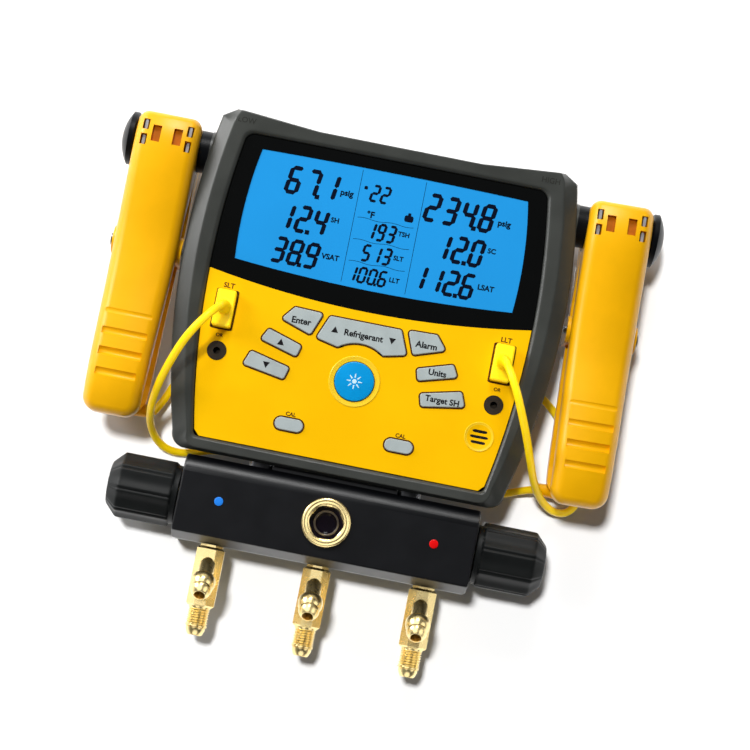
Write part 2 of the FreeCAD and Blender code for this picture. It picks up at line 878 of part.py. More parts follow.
def make_main_board():
    """Circuit board with a switch dome under each key, and its chips."""
    z0 = board_top_z - board_thickness
    board = prism(opening_wire(-ledge_width - 1.5), z0, board_top_z)
    for side in (-1, 1):
        board = board.cut(plug_slot(side, 0.1, z0, board_top_z))
    for wire in key_wires().values():
        centre = Part.Face(wire).CenterOfMass
        board = board.fuse(rod(2.2, (centre.x, centre.y, board_top_z), (0, 0, 1), 0.5))
    for x, height, width, length in board_chips:
        y = above(height)
        board = board.fuse(box(x, x + width, y, y + length, z0 - chip_thickness, z0))
    for x, y in board_posts():
        board = board.cut(rod(screw_radius + screw_clearance, (x, y, z0), (0, 0, 1), board_thickness))
    return board


def board_posts():
    return [(side * board_post_half, above(height)) for side in (-1, 1) for height in board_post_heights]


def make_board_posts():
    """Pillars of the rear case that carry the board."""
    z0 = case_back_z + case_wall / 2
    pillars = []
    for x, y in board_posts():
        pillar = rod(boss_radius, (x, y, z0), (0, 0, 1), board_top_z - board_thickness - z0)
        pin = rod(screw_radius, (x, y, z0), (0, 0, 1), board_top_z - 0.2 - z0)
        pillars.append(pillar.fuse(pin))
    return pillars


def make_speaker():
    z1 = plate_front_z - plate_thickness
    body = rod(speaker_radius, (speaker_x, above(speaker_height), z1 - speaker_thickness), (0, 0, 1),
               speaker_thickness - 0.05)
    cone_cut = cone(2.0, speaker_radius - 1.6, (speaker_x, above(speaker_height), z1 - 1.6), (0, 0, 1), 1.6)
    return body.cut(cone_cut)


def plug_blades(side, clearance):
    """Two flat blades under a plug."""
    x = side * plug_half_spacing
    z0 = board_top_z + socket_flange_thickness - plug_blade_length
    z1 = board_top_z + socket_flange_thickness
    blades = []
    for end in (-1, 1):
        y = above(plug_height) + end * plug_blade_spacing / 2
        blades.append(box(x - plug_blade_width / 2 - clearance, x + plug_blade_width / 2 + clearance,
                          y - plug_blade_thickness / 2 - clearance, y + plug_blade_thickness / 2 + clearance,
                          z0 - clearance, z1 + clearance))
    return blades


def make_sensor_jacks():
    """Two flat thermocouple sockets and two round jacks, as separate bodies."""
    solids = []
    flange_top = board_top_z + socket_flange_thickness
    for side in (-1, 1):
        body = plug_slot(side, 0.0, flange_top - socket_height, flange_top)
        flange = plug_slot(side, socket_flange, board_top_z, flange_top)
        socket = body.fuse(flange).removeSplitter()
        for blade in plug_blades(side, blade_clearance):
            socket = socket.cut(blade)
        solids.append(socket)
        x = side * jack_half_spacing
        y = above(jack_height)
        height = plate_front_z + jack_proud - board_top_z
        jack = rod(jack_radius, (x, y, board_top_z), (0, 0, 1), height)
        jack = jack.cut(rod(jack_bore_radius, (x, y, board_top_z + 0.6), (0, 0, 1), height))
        solids.append(jack)
    return Part.makeCompound(solids)


def make_plug(side):
    """Flat thermocouple plug with its blades and cord neck."""
    bottom = board_top_z + socket_flange_thickness
    body = plug_slot(side, 0.0, bottom, plug_top_z)
    body = round_uprights(body, 1.2)
    body = body.makeChamfer(0.7, edges_at(body, plug_top_z))
    for blade in plug_blades(side, 0.0):
        body = body.fuse(blade)
    x = side * plug_half_spacing
    neck = cone(3.4, cord_radius + 0.5, (x, above(plug_height), plug_top_z), (0, 0, 1), plug_neck_length)
    return body.fuse(neck)


def make_screws():
    """Case, door, bracket and block screws."""
    screws = []
    for x, y in case_screw_spots():
        head = rod(screw_head_radius, (x, y, case_back_z + 0.3), (0, 0, 1), screw_head_height - 0.3)
        shank = rod(screw_radius, (x, y, case_back_z + screw_head_height), (0, 0, 1),
                    case_screw_tip_z - case_back_z - screw_head_height)
        screws.append(head.fuse(shank).removeSplitter())
    for x, y in door_screw_spots():
        head = cone(screw_head_radius - 0.2, screw_radius, (x, y, foot_thickness + 0.1), (0, 0, 1), 1.1)
        shank = rod(screw_radius, (x, y, foot_thickness + 1.2), (0, 0, 1), door_screw_length)
        screws.append(head.fuse(shank).removeSplitter())
    plate_z = case_back_z - bracket_plate_thickness
    for x in (-bracket_screw_x, bracket_screw_x):
        for height in bracket_screw_heights:
            y = above(height)
            head = rod(screw_head_radius, (x, y, plate_z - screw_head_height), (0, 0, 1), screw_head_height)
            shank = rod(screw_radius, (x, y, plate_z), (0, 0, 1), bracket_plate_thickness + 6.0)
            screws.append(head.fuse(shank).removeSplitter())
    for x in (-bracket_block_screw_x, bracket_block_screw_x):
        top = block_top_y + bracket_flange_thickness
        head = cone(screw_head_radius, screw_radius, (x, top, bracket_block_screw_z), (0, -1, 0),
                    bracket_flange_thickness)
        shank = rod(screw_radius, (x, block_top_y, bracket_block_screw_z), (0, -1, 0), bracket_block_screw_length)
        screws.append(head.fuse(shank).removeSplitter())
    return Part.makeCompound(screws)


def make_rubber_feet():
    feet = []
    for x in (-upper_foot_x, upper_foot_x):
        feet.append(rod(foot_radius, (x, above(upper_foot_height), 0), (0, 0, 1), foot_thickness))
    for x in (-lower_foot_x, lower_foot_x):
        feet.append(rod(foot_radius, (x, block_middle_y, 0), (0, 0, 1), foot_thickness))
    return Part.makeCompound([foot.makeChamfer(0.5, edges_at(foot, 0)) for foot in feet])


def hook_pin(clearance):
    half = hook_barrel_half + hook_lug_gap + hook_lug_width - 0.8 + clearance
    return rod(hook_pin_radius + clearance, (-half, above(hook_pivot_height), hook_pivot_z), (1, 0, 0), 2 * half)


def hook_lug(side):
    """Ear on the case that holds one end of the hook's pin."""
    x0 = hook_barrel_half + hook_lug_gap
    y = above(hook_pivot_height)
    eye = rod(hook_lug_radius, (x0, y, hook_pivot_z), (1, 0, 0), hook_lug_width)
    foot = box(x0, x0 + hook_lug_width, y - hook_lug_radius, y + hook_lug_radius, hook_pivot_z,
               case_back_z + case_wall / 2)
    return sided(eye.fuse(foot), side)


def make_hanging_hook():
    """Hook that folds flat against the case and swings up over its top."""
    y = above(hook_pivot_height)
    ring_y = y - hook_ring_drop
    z0 = hook_pivot_z - hook_thickness / 2
    ring = rod(hook_ring_radius, (0, ring_y, z0), (0, 0, 1), hook_thickness)
    ring = ring.cut(rod(hook_ring_bore, (0, ring_y, z0), (0, 0, 1), hook_thickness))
    mouth = box(0, hook_ring_radius + 1, ring_y, ring_y + hook_mouth, z0, z0 + hook_thickness)
    ring = ring.cut(mouth)
    shank = box(-hook_shank_half, hook_shank_half, ring_y + hook_ring_bore + 1.2, y, z0, z0 + hook_thickness)
    barrel = rod(hook_barrel_radius, (-hook_barrel_half, y, hook_pivot_z), (1, 0, 0), 2 * hook_barrel_half)
    return ring.fuse(shank).fuse(barrel).fuse(hook_pin(0.0))


def make_neck_bracket():
    """Angle that carries the block: a plate on the case's back and a flange on the block."""
    z1 = case_back_z
    z0 = case_back_z - bracket_plate_thickness
    plate = box(-bracket_half, bracket_half, block_top_y, above(bracket_plate_height), z0, z1)
    plate = round_uprights(plate, bracket_corner)
    flange = box(-bracket_half, bracket_half, block_top_y, block_top_y + bracket_flange_thickness,
                 z0, bracket_flange_top_z)
    corner_fill = box(-bracket_half, bracket_half, block_top_y, block_top_y + 5.0, z0, z1)
    bracket = plate.fuse(corner_fill).fuse(flange)
    for x in (-bracket_screw_x, bracket_screw_x):
        for height in bracket_screw_heights:
            start = (x, above(height), z0)
            bracket = bracket.cut(rod(screw_radius + screw_clearance, start, (0, 0, 1), bracket_plate_thickness))
    for x in (-bracket_block_screw_x, bracket_block_screw_x):
        top = block_top_y + bracket_flange_thickness
        bracket = bracket.cut(cone(screw_head_radius + screw_clearance, screw_radius + screw_clearance,
                                   (x, top, bracket_block_screw_z), (0, -1, 0), bracket_flange_thickness))
    return bracket


def block_section():
    """Rounded rectangle of the block, in the plane across X."""
    section = box(-block_half, block_half, block_bottom_y, block_top_y, block_back_z, block_front_z)
    long_edges = [e for e in section.Edges if abs(abs(e.tangentAt(e.FirstParameter).x) - 1) < 1e-6]
    section = section.makeFillet(block_edge_radius, long_edges)
    ends = [e for e in section.Edges
            if e.BoundBox.XLength < 1e-6]
    return section.makeChamfer(block_end_chamfer, ends)


def make_manifold_block():
    """Black block with its valve bores, port sockets, sight bore and sensor pockets."""
    block = block_section()
    for side in (-1, 1):
        end_x = side * block_half
        inward = (-side, 0, 0)
        axis_point = (end_x, block_middle_y, block_middle_z)
        block = block.cut(rod(packing_radius + sight_clearance, axis_point, inward, packing_depth))
        block = block.cut(rod(valve_bore_radius, axis_point, inward, valve_bore_depth))
        block = block.cut(rod(sensor_radius + sight_clearance, (side * sensor_x, block_top_y, sensor_z),
                              (0, -1, 0), sensor_pocket_depth))
        block = block.cut(rod(screw_radius + screw_clearance,
                              (side * bracket_block_screw_x, block_top_y, bracket_block_screw_z),
                              (0, -1, 0), bracket_block_screw_length + 1))
    passage_half = block_half - valve_bore_depth
    block = block.cut(rod(valve_passage_radius, (-passage_half, block_middle_y, block_middle_z),
                          (1, 0, 0), 2 * passage_half))
    for place in (-1, 0, 1):
        start = (place * port_pitch, block_bottom_y, block_middle_z)
        block = block.cut(rod(tee_spigot_radius + spigot_clearance, start, (0, 1, 0), tee_spigot_length + 0.5))
        block = block.cut(rod(flare_bore_radius, start, (0, 1, 0), block_height / 2))
    block = block.cut(rod(sight_body_radius + sight_clearance, (0, block_middle_y, block_front_z),
                          (0, 0, -1), sight_body_depth + 0.2))
    return block


def hexagon(flat, x, y):
    radius = flat / math.sqrt(3)
    return polygon([(x + radius * math.cos(math.radians(60 * i)), y + radius * math.sin(math.radians(60 * i)))
                    for i in range(6)])


def make_sight_ring():
    """Brass sight-glass body: rounded flange, hexagon socket, threaded shank."""
    top = block_front_z + sight_flange_height
    flange = rod(sight_flange_radius, (0, block_middle_y, block_front_z), (0, 0, 1), sight_flange_height)
    flange = flange.makeFillet(sight_flange_height * 0.6, edges_at(flange, top))
    shank = rod(sight_body_radius, (0, block_middle_y, block_front_z), (0, 0, -1), sight_body_depth)
    ring = flange.fuse(shank)
    ring = ring.cut(prism(hexagon(sight_hex_flat, 0, block_middle_y), top - sight_hex_depth, top + 1))
    ring = ring.cut(rod(sight_window_radius, (0, block_middle_y, block_front_z - sight_body_depth), (0, 0, 1),
                        sight_body_depth))
    seat_z = top - sight_hex_depth - sight_glass_thickness
    ring = ring.cut(rod(sight_bore_radius, (0, block_middle_y, seat_z), (0, 0, 1), sight_glass_thickness))
    return ring


def make_sight_glass():
    seat_z = block_front_z + sight_flange_height - sight_hex_depth - sight_glass_thickness
    return rod(sight_bore_radius - sight_clearance, (0, block_middle_y, seat_z + 0.05), (0, 0, 1),
               sight_glass_thickness - 0.1)


def make_valve_stem(side):
    """Valve stem from its needle in the block to the knob."""
    tip_x = block_half - valve_bore_depth + 4.0
    needle = cone(1.2, stem_radius, (tip_x, block_middle_y, block_middle_z), (1, 0, 0), 5.0)
    end_x = block_half + knob_gap + knob_bore_depth - 1.0
    shaft = rod(stem_radius, (tip_x + 5.0, block_middle_y, block_middle_z), (1, 0, 0), end_x - tip_x - 5.0)
    collar = rod(valve_bore_radius - 0.4, (tip_x + 8.0, block_middle_y, block_middle_z), (1, 0, 0), 3.0)
    return sided(needle.fuse(shaft).fuse(collar), side)


def make_packing_nut(side):
    """Gland nut round the stem, let into the block's end."""
    x0 = block_half - packing_depth
    length = packing_depth + packing_proud
    nut = rod(packing_radius, (x0, block_middle_y, block_middle_z), (1, 0, 0), length)
    hole = rod(stem_radius + stem_running_clearance, (x0, block_middle_y, block_middle_z), (1, 0, 0), length)
    return sided(nut.cut(hole), side)


def make_knob(side):
    """Round valve knob with long flats and a broad chamfer."""
    x0 = block_half + knob_gap
    knob = rod(knob_radius, (x0, block_middle_y, block_middle_z), (1, 0, 0), knob_length)
    outer_x = x0 + knob_length
    rim = [e for e in knob.Edges if abs(e.BoundBox.XMin - outer_x) < 1e-4]
    knob = knob.makeChamfer(knob_chamfer, rim)
    inner = [e for e in knob.Edges if abs(e.BoundBox.XMax - x0) < 1e-4]
    knob = knob.makeChamfer(0.8, inner)
    corner_radius = knob_flat_radius / math.cos(math.pi / knob_flats)
    corners = []
    for i in range(knob_flats + 1):
        angle = 2 * math.pi * (i + 0.5) / knob_flats
        y = block_middle_y + corner_radius * math.sin(angle)
        z = block_middle_z + corner_radius * math.cos(angle)
        corners.append(Vector(x0 + knob_grip_start, y, z))
    grip = Part.Face(Part.makePolygon(corners)).extrude(Vector(knob_length, 0, 0))
    skirt = rod(knob_radius, (x0, block_middle_y, block_middle_z), (1, 0, 0), knob_grip_start)
    knob = knob.common(grip.fuse(skirt))
    knob = knob.cut(rod(stem_radius + 0.02, (x0, block_middle_y, block_middle_z), (1, 0, 0), knob_bore_depth))
    cap = rod(knob_cap_radius, (outer_x - knob_cap_depth, block_middle_y, block_middle_z), (1, 0, 0), knob_cap_depth)
    knob = knob.cut(cap)
    return sided(knob, side)


def octagon_bar(x, length, chamfer):
    """Eight-sided bar hanging from the block's underside, its ends turned to a chamfer."""
    radius = tee_flat / 2 / math.cos(math.pi / 8)
    corners = []
    for i in range(8):
        angle = math.pi / 8 + i * math.pi / 4
        corners.append(Vector(x + radius * math.cos(angle), block_bottom_y, block_middle_z + radius * math.sin(angle)))
    face = Part.Face(Part.makePolygon(corners + [corners[0]]))
    bar = face.extrude(Vector(0, -length, 0))
    top = cone(tee_flat / 2 - chamfer * 0.3, tee_flat / 2 + length / 2, (x, block_bottom_y, block_middle_z),
               (0, -1, 0), (length / 2 + chamfer * 0.3))
    foot_y = block_bottom_y - length
    foot = cone(tee_flat / 2 - chamfer * 0.3, tee_flat / 2 + length / 2, (x, foot_y, block_middle_z),
                (0, 1, 0), (length / 2 + chamfer * 0.3))
    return bar.common(top.fuse(foot))


def angle_port(x):
    """Port that leaves the tee forwards and down: neck, threaded part and flare nose, and its bore."""
    tilt = math.radians(angle_port_tilt)
    direction = Vector(0, -math.sin(tilt), math.cos(tilt))
    root = Vector(x, block_bottom_y - angle_port_drop, block_middle_z)

    def at(distance):
        return root + direction * distance

    neck = Part.makeCylinder(angle_neck_radius, angle_thread_start, root, direction)
    thread_length = angle_thread_end - angle_thread_start
    thread = Part.makeCylinder(angle_thread_radius, thread_length, at(angle_thread_start), direction)
    rims = [e for e in thread.Edges if e.Closed]
    thread = thread.makeChamfer(0.6, rims)
    nose = Part.makeCone(angle_nose_radius, angle_tip_radius, angle_port_length - angle_thread_end,
                         at(angle_thread_end), direction)
    bore = Part.makeCylinder(angle_bore_radius, angle_bore_depth + 1, at(angle_port_length - angle_bore_depth),
                             direction)
    return neck.fuse(thread).fuse(nose), bore


def make_fitting(place):
    """Brass flare tee: octagon bar, threaded flare below, angled port in front."""
    x = place * port_pitch
    bar = octagon_bar(x, tee_length, tee_chamfer)
    spigot = rod(tee_spigot_radius, (x, block_bottom_y, block_middle_z), (0, 1, 0), tee_spigot_length)
    thread_y = block_bottom_y - tee_length
    thread = rod(flare_thread_radius, (x, thread_y, block_middle_z), (0, -1, 0), flare_thread_length)
    nose_y = thread_y - flare_thread_length
    nose = rod(flare_nose_radius, (x, nose_y, block_middle_z), (0, -1, 0), flare_nose_length / 2)
    tip = cone(flare_nose_radius, flare_nose_tip_radius, (x, nose_y - flare_nose_length / 2, block_middle_z),
               (0, -1, 0), flare_nose_length / 2)
    port, port_bore = angle_port(x)
    fitting = bar.fuse(spigot).fuse(thread).fuse(nose).fuse(tip).fuse(port)
    end_y = nose_y - flare_nose_length
    bore = rod(flare_bore_radius, (x, end_y, block_middle_z), (0, 1, 0), flare_bore_depth)
    passage = rod(flare_bore_radius, (x, block_bottom_y + tee_spigot_length, block_middle_z), (0, -1, 0),
                  tee_spigot_length + 6)
    return fitting.cut(bore).cut(port_bore).cut(passage)


def make_pressure_sensors():
    sensors = []
    for side in (-1, 1):
        start = (side * sensor_x, block_top_y - sensor_pocket_depth + 0.1, sensor_z)
        length = sensor_pocket_depth + neck_gap + sensor_rise
        body = rod(sensor_radius, start, (0, 1, 0), length)
        end = (start[0], start[1] + length, sensor_z)
        sensors.append(body.fuse(rod(3.0, end, (0, 1, 0), 2.5)).removeSplitter())
    return Part.makeCompound(sensors)


def make_post(side):
    """Storage post with its stub in the case, and a domed end disc."""
    y = above(post_height)
    post = rod(post_radius, (post_root_x, y, post_z), (1, 0, 0), post_disc_x - post_root_x)
    stub = rod(post_stub_radius, (post_root_x - post_stub_length + 0.2, y, post_z), (1, 0, 0), post_stub_length)
    disc = rod(post_disc_radius, (post_disc_x, y, post_z), (1, 0, 0), post_disc_thickness)
    ball = (post_disc_radius ** 2 + post_dome_thickness ** 2) / (2 * post_dome_thickness)
    dome_end = post_disc_x + post_disc_thickness + post_dome_thickness
    dome = Part.makeSphere(ball, Vector(dome_end - ball, y, post_z))
    slab = box(post_disc_x + post_disc_thickness, dome_end + 1, y - 2 * post_disc_radius, y + 2 * post_disc_radius,
               post_z - 2 * post_disc_radius, post_z + 2 * post_disc_radius)
    rim = [e for e in disc.Edges if abs(e.BoundBox.XMax - post_disc_x) < 1e-4]
    disc = disc.makeChamfer(0.8, rim)
    return sided(post.fuse(stub).fuse(disc).fuse(dome.common(slab)), side)


def clamp_outline(foot):
    """Clamp arm seen from the front: straight top, slightly narrower foot, round corners."""
    top = above(clamp_top)
    bottom = above(foot)
    points = [(clamp_x - clamp_half, top), (clamp_x + clamp_half, top),
              (clamp_x + clamp_half, above(post_height) - clamp_pivot_drop),
              (clamp_x + clamp_foot_half, bottom), (clamp_x - clamp_foot_half, bottom),
              (clamp_x - clamp_half, above(post_height) - clamp_pivot_drop)]
    return polygon(points)


def clamp_back_line(foot):
    """Outer face of an arm seen from the side, as one smooth curve."""
    pivot_y = above(post_height) - clamp_pivot_drop
    points = [Vector(0, above(clamp_top) + 1, jaw_back - 4.0),
              Vector(0, above(post_height) + 4.0, jaw_back),
              Vector(0, above(post_height) - 18.0, jaw_back - 0.6),
              Vector(0, pivot_y, waist_back),
              Vector(0, pivot_y - 45.0, handle_back - 2.2),
              Vector(0, above(foot) + 14.0, handle_back),
              Vector(0, above(foot) - 1, handle_back - 4.0)]
    curve = Part.BSplineCurve()
    curve.interpolate(points)
    return curve.toShape(), points[0], points[-1]


def arm_side_face(foot):
    """Arm seen from the side, between its smooth outer face and its stepped inner face."""
    outer, first, last = clamp_back_line(foot)
    pivot_y = above(post_height) - clamp_pivot_drop
    inner_foot = handle_back - 4.0 - handle_thickness
    waist_inner = waist_back - handle_thickness
    inner = [last,
             Vector(0, last.y, inner_foot),
             Vector(0, above(foot) + 14.0, inner_foot + 2.6),
             Vector(0, pivot_y - 12.0, waist_inner),
             Vector(0, pivot_y + 16.0, waist_inner),
             Vector(0, above(post_height) - post_radius - 8.0, jaw_gap),
             Vector(0, first.y, jaw_gap),
             first]
    edges = [outer]
    for p, q in zip(inner, inner[1:]):
        edges.append(Part.LineSegment(p, q).toShape())
    return Part.Face(Part.Wire(Part.__sortEdges__(edges)))


def arm_blank(foot):
    """Arm with rounded outer edges, before its jaw and holes are cut. Z is measured from the post's axis."""
    side = arm_side_face(foot)
    side.translate(Vector(clamp_x - clamp_half - 2, 0, 0))
    slab = side.extrude(Vector(2 * clamp_half + 4, 0, 0))
    outline = prism(clamp_outline(foot), -1, handle_back + 5)
    corners = sorted([e for e in outline.Edges if is_upright(e)], key=lambda e: e.CenterOfMass.y)
    outline = outline.makeFillet(clamp_foot_corner, corners[:2])
    corners = sorted([e for e in outline.Edges if is_upright(e)], key=lambda e: e.CenterOfMass.y)
    top_corners = [e for e in corners if e.CenterOfMass.y > above(clamp_top) - clamp_corner]
    outline = outline.makeFillet(clamp_corner, top_corners)
    arm = slab.common(outline)
    rim = outer_rim(arm)
    return arm.makeFillet(clamp_edge, rim)


def outer_rim(arm):
    """Edges round an arm's smooth outer face."""
    best = None
    for face in arm.Faces:
        u0, u1, v0, v1 = face.ParameterRange
        normal = face.normalAt((u0 + u1) / 2, (v0 + v1) / 2)
        if normal.z > 0.8 and (best is None or face.Area > best.Area):
            best = face
    return best.OuterWire.Edges


def clamp_windows():
    """Holes in a jaw: small ones through to the jaw plate, large ones blind."""
    tools = []
    y = above(post_height)
    for sx in (-1, 1):
        for sy in (-1, 1):
            width, height = small_window
            x = clamp_x + sx * small_window_x
            cy = y + 0.6 + sy * small_window_rise
            tools.append(box(x - width / 2, x + width / 2, cy - height / 2, cy + height / 2,
                             post_radius * 0.6, jaw_back + 5))
        width, height = large_window
        x = clamp_x + sx * large_window_x
        tools.append(box(x - width / 2, x + width / 2, y + 0.6 - height / 2, y + 0.6 + height / 2,
                         jaw_back - large_window_depth, jaw_back + 5))
    return tools


def grip_grooves():
    tools = []
    pivot_y = above(post_height) - clamp_pivot_drop
    for i in range(groove_count):
        y = pivot_y - groove_first_drop - groove_pitch * i
        share = (pivot_y - y) / (pivot_y - above(front_arm_foot))
        surface = waist_back + (handle_back - waist_back) * min(1.0, 1.25 * share)
        half = groove_half - groove_shorter * i
        z = surface + groove_radius - groove_depth
        tools.append(rod(groove_radius, (clamp_x - half, y, z), (1, 0, 0), 2 * half))
    return tools


def ear(x0, x1, z_reach):
    """Ear round the pivot pin, on a foot that reaches the arm."""
    y = above(post_height) - clamp_pivot_drop
    eye = rod(ear_radius, (x0, y, 0), (1, 0, 0), x1 - x0)
    foot = box(x0, x1, y - ear_radius, y + ear_radius, 0, z_reach)
    return eye.fuse(foot)


def inner_ears():
    outer_x = clamp_half - ear_thickness - ear_gap
    reach = waist_back - 2.0
    right = ear(clamp_x + outer_x - ear_thickness, clamp_x + outer_x, reach)
    left = ear(clamp_x - outer_x, clamp_x - outer_x + ear_thickness, reach)
    return right, left


def outer_ears():
    reach = waist_back - 2.0
    outer = clamp_half + outer_ear_proud
    inner = clamp_half - ear_thickness
    right = ear(clamp_x + inner, clamp_x + outer, reach)
    left = ear(clamp_x - outer, clamp_x - inner, reach)
    return right, left


def ear_relief(x0, x1):
    """Room in an arm for the other arm's ear to turn in."""
    y = above(post_height) - clamp_pivot_drop
    return rod(ear_radius + ear_gap, (x0, y, 0), (1, 0, 0), x1 - x0)


def pivot_hole():
    y = above(post_height) - clamp_pivot_drop
    return rod(pivot_pin_radius + pin_clearance, (clamp_x - clamp_half - 5, y, 0), (1, 0, 0), 2 * clamp_half + 10)


def jaw_hollow(radius):
    y = above(post_height)
    return rod(radius, (clamp_x - clamp_half - 5, y, 0), (1, 0, 0), 2 * clamp_half + 10)


def make_arm(foot, ears, windows):
    """One clamp arm, drawn in front of the post's axis."""
    arm = arm_blank(foot)
    arm = arm.cut(jaw_hollow(post_radius + jaw_clearance + jaw_plate_thickness + jaw_seat_gap))
    for tool in grip_grooves():
        arm = arm.cut(tool)
    if windows:
        for tool in clamp_windows():
            arm = arm.cut(tool)
    for piece in ears:
        arm = arm.fuse(piece)
    return arm.cut(pivot_hole())


def to_front(shape):
    """Move a piece drawn about the post's axis up to that axis."""
    moved = shape.copy()
    moved.translate(Vector(0, 0, post_z))
    return moved


def to_back(shape):
    """Turn a piece drawn in front of the post's axis to the back of it."""
    turned = shape.mirror(Vector(0, 0, 0), Z_AXIS)
    return to_front(turned)


def make_front_arm(side):
    arm = make_arm(front_arm_foot, inner_ears(), True)
    outer = clamp_half + outer_ear_proud
    inner = clamp_half - ear_thickness - ear_gap
    arm = arm.cut(ear_relief(clamp_x + inner, clamp_x + outer + 1))
    arm = arm.cut(ear_relief(clamp_x - outer - 1, clamp_x - inner))
    return clamp_placed(to_front(arm), side)


def make_rear_arm(side):
    arm = make_arm(rear_arm_foot, outer_ears(), False)
    inner = clamp_half - ear_thickness
    arm = arm.cut(ear_relief(clamp_x - inner, clamp_x + inner))
    arm = to_back(arm)
    root_x = clamp_x - clamp_foot_half + relief_root
    relief = cone(relief_radius + 0.8, relief_radius, (root_x, above(relief_height), relief_z), (-1, 0, 0),
                  relief_length + relief_root)
    return clamp_placed(arm.fuse(relief), side)


def make_jaw_plate():
    """Curved metal pad that lies in a jaw, against the post."""
    inner = post_radius + jaw_clearance
    ring = rod(inner + jaw_plate_thickness, (clamp_x - jaw_plate_half, above(post_height), 0), (1, 0, 0),
               2 * jaw_plate_half)
    ring = ring.cut(jaw_hollow(inner))
    y = above(post_height)
    reach = 3 * inner
    spread = math.tan(math.radians(jaw_plate_angle)) * reach
    corners = [Vector(0, y, 0), Vector(0, y - spread, reach), Vector(0, y + spread, reach)]
    wedge = Part.Face(Part.makePolygon(corners + [corners[0]]))
    wedge.translate(Vector(clamp_x - jaw_plate_half, 0, 0))
    return ring.common(wedge.extrude(Vector(2 * jaw_plate_half, 0, 0)))


def make_pivot_pin(side):
    y = above(post_height) - clamp_pivot_drop
    outer = clamp_half + outer_ear_proud
    shaft = rod(pivot_pin_radius, (clamp_x - outer - pivot_pin_overhang, y, post_z), (1, 0, 0),
                2 * outer + pivot_pin_overhang)
    head = rod(pivot_head_radius, (clamp_x + outer, y, post_z), (1, 0, 0), pivot_head_thickness)
    return clamp_placed(shaft.fuse(head), side)


def make_clamp_spring(side):
    """Torsion spring round the pivot pin, its long leg along the rear arm."""
    y = above(post_height) - clamp_pivot_drop
    mean = pivot_pin_radius + spring_gap + spring_wire / 2
    pitch = spring_wire * 1.12
    height = pitch * spring_turns
    helix = Part.makeHelix(pitch, height, mean)
    start = Vector(mean, 0, 0)
    tangent = Vector(0, 2 * math.pi * mean, pitch)
    circle = Part.Wire(Part.makeCircle(spring_wire / 2, start, tangent))
    coil = Part.Wire(helix.Edges).makePipeShell([circle], True, True)
    leg = Part.makeCylinder(spring_wire / 2, spring_leg, start, Vector(0, -1, 0))
    spring = coil.fuse(leg)
    spring.rotate(Vector(0, 0, 0), Y_AXIS, 90)
    spring.translate(Vector(clamp_x - height / 2, y, post_z))
    return clamp_placed(spring, side)


def route_arcs(points):
    """Straight runs joined by tangent arcs, and the radius of each arc."""
    edges = []
    radii = []
    here = Vector(*points[0])
    for before, corner, after in zip(points, points[1:], points[2:]):
        a, b, c = Vector(*before), Vector(*corner), Vector(*after)
        back = (a - b).normalize()
        ahead = (c - b).normalize()
        turn = math.pi - back.getAngle(ahead)
        reach = 0.45 * min((a - b).Length, (c - b).Length)
        radii.append(round(reach / math.tan(turn / 2), 1))
        first = b + back * reach
        last = b + ahead * reach
        radius = reach / math.tan(turn / 2)
        centre_way = (back + ahead).normalize()
        centre = b + centre_way * (radius / math.cos(turn / 2))
        middle = centre - centre_way * radius
        edges.append(Part.LineSegment(here, first).toShape())
        edges.append(Part.Arc(first, middle, last).toShape())
        here = last
    edges.append(Part.LineSegment(here, Vector(*points[-1])).toShape())
    return edges, radii


def cord_tube(name, points):
    """Plain tube along a route, checked against its section times its length."""
    edges, radii = route_arcs(points)
    path = Part.Wire(edges)
    start = Vector(*points[0])
    heading = Vector(*points[1]) - start
    section = Part.Wire(Part.makeCircle(cord_radius, start, heading))
    tube = path.makePipeShell([section], True, False)
    expected = math.pi * cord_radius ** 2 * path.Length
    print(name, "length", round(path.Length, 1), "radii", radii, "volume ratio", round(tube.Volume / expected, 4))
    return tube


def make_coil(side):
    """Closed ring of the outer shape of the coiled cord."""
    ring = rod(coil_outer_radius, (0, 0, 0), (0, 0, 1), coil_height)
    ring = ring.cut(rod(coil_inner_radius, (0, 0, 0), (0, 0, 1), coil_height))
    ring = ring.makeChamfer(coil_edge, edges_at(ring, 0) + edges_at(ring, coil_height))
    ring.translate(Vector(side * coil_x, above(coil_center_height), coil_floor))
    return ring


def placed(points):
    """Route points given as x, height above the housing's bottom edge, z."""
    return [(x, above(height), z) for x, height, z in points]


neck_end_z = plug_top_z + plug_neck_length

lead_left_route = [
    (-71.0, 72.1, neck_end_z), (-71.1, 71.9, 58.6), (-73.4, 68.6, 65.4), (-77.3, 62.8, 69.4),
    (-81.8, 56.2, 69.2), (-86.2, 49.2, 65.0), (-91.2, 39.0, 56.0), (-96.0, 27.6, 43.5),
    (-98.8, 17.2, 28.5), (-98.2, 9.0, 14.5), (-93.6, 2.2, 5.2), (-85.0, -0.9, 2.15),
    (-75.0, 0.8, 2.1), (-65.0, 4.4, 2.2),
]
lead_right_route = [
    (71.0, 72.1, neck_end_z), (71.1, 71.9, 58.6), (72.9, 68.4, 65.4), (76.0, 62.0, 69.4),
    (79.6, 54.9, 69.2), (83.4, 47.4, 65.0), (88.6, 37.6, 55.5), (93.8, 27.2, 42.5),
    (98.6, 18.0, 28.0), (105.0, 10.8, 14.0), (113.2, 6.4, 5.6), (121.6, 7.6, 2.4),
    (126.2, 16.6, 2.1), (123.6, 31.0, 2.1), (115.0, 46.5, 2.1), (105.0, 58.5, 2.1),
    (95.0, 66.0, 2.1), (83.0, 68.5, 2.1), (71.0, 63.5, 2.1), (60.0, 54.8, 2.1), (51.0, 50.2, 2.1),
]
tail_left_route = [
    (-74.8, 48.2, 10.2), (-84.0, 42.0, 7.5), (-91.5, 34.5, 5.0), (-95.0, 24.0, 5.5),
]
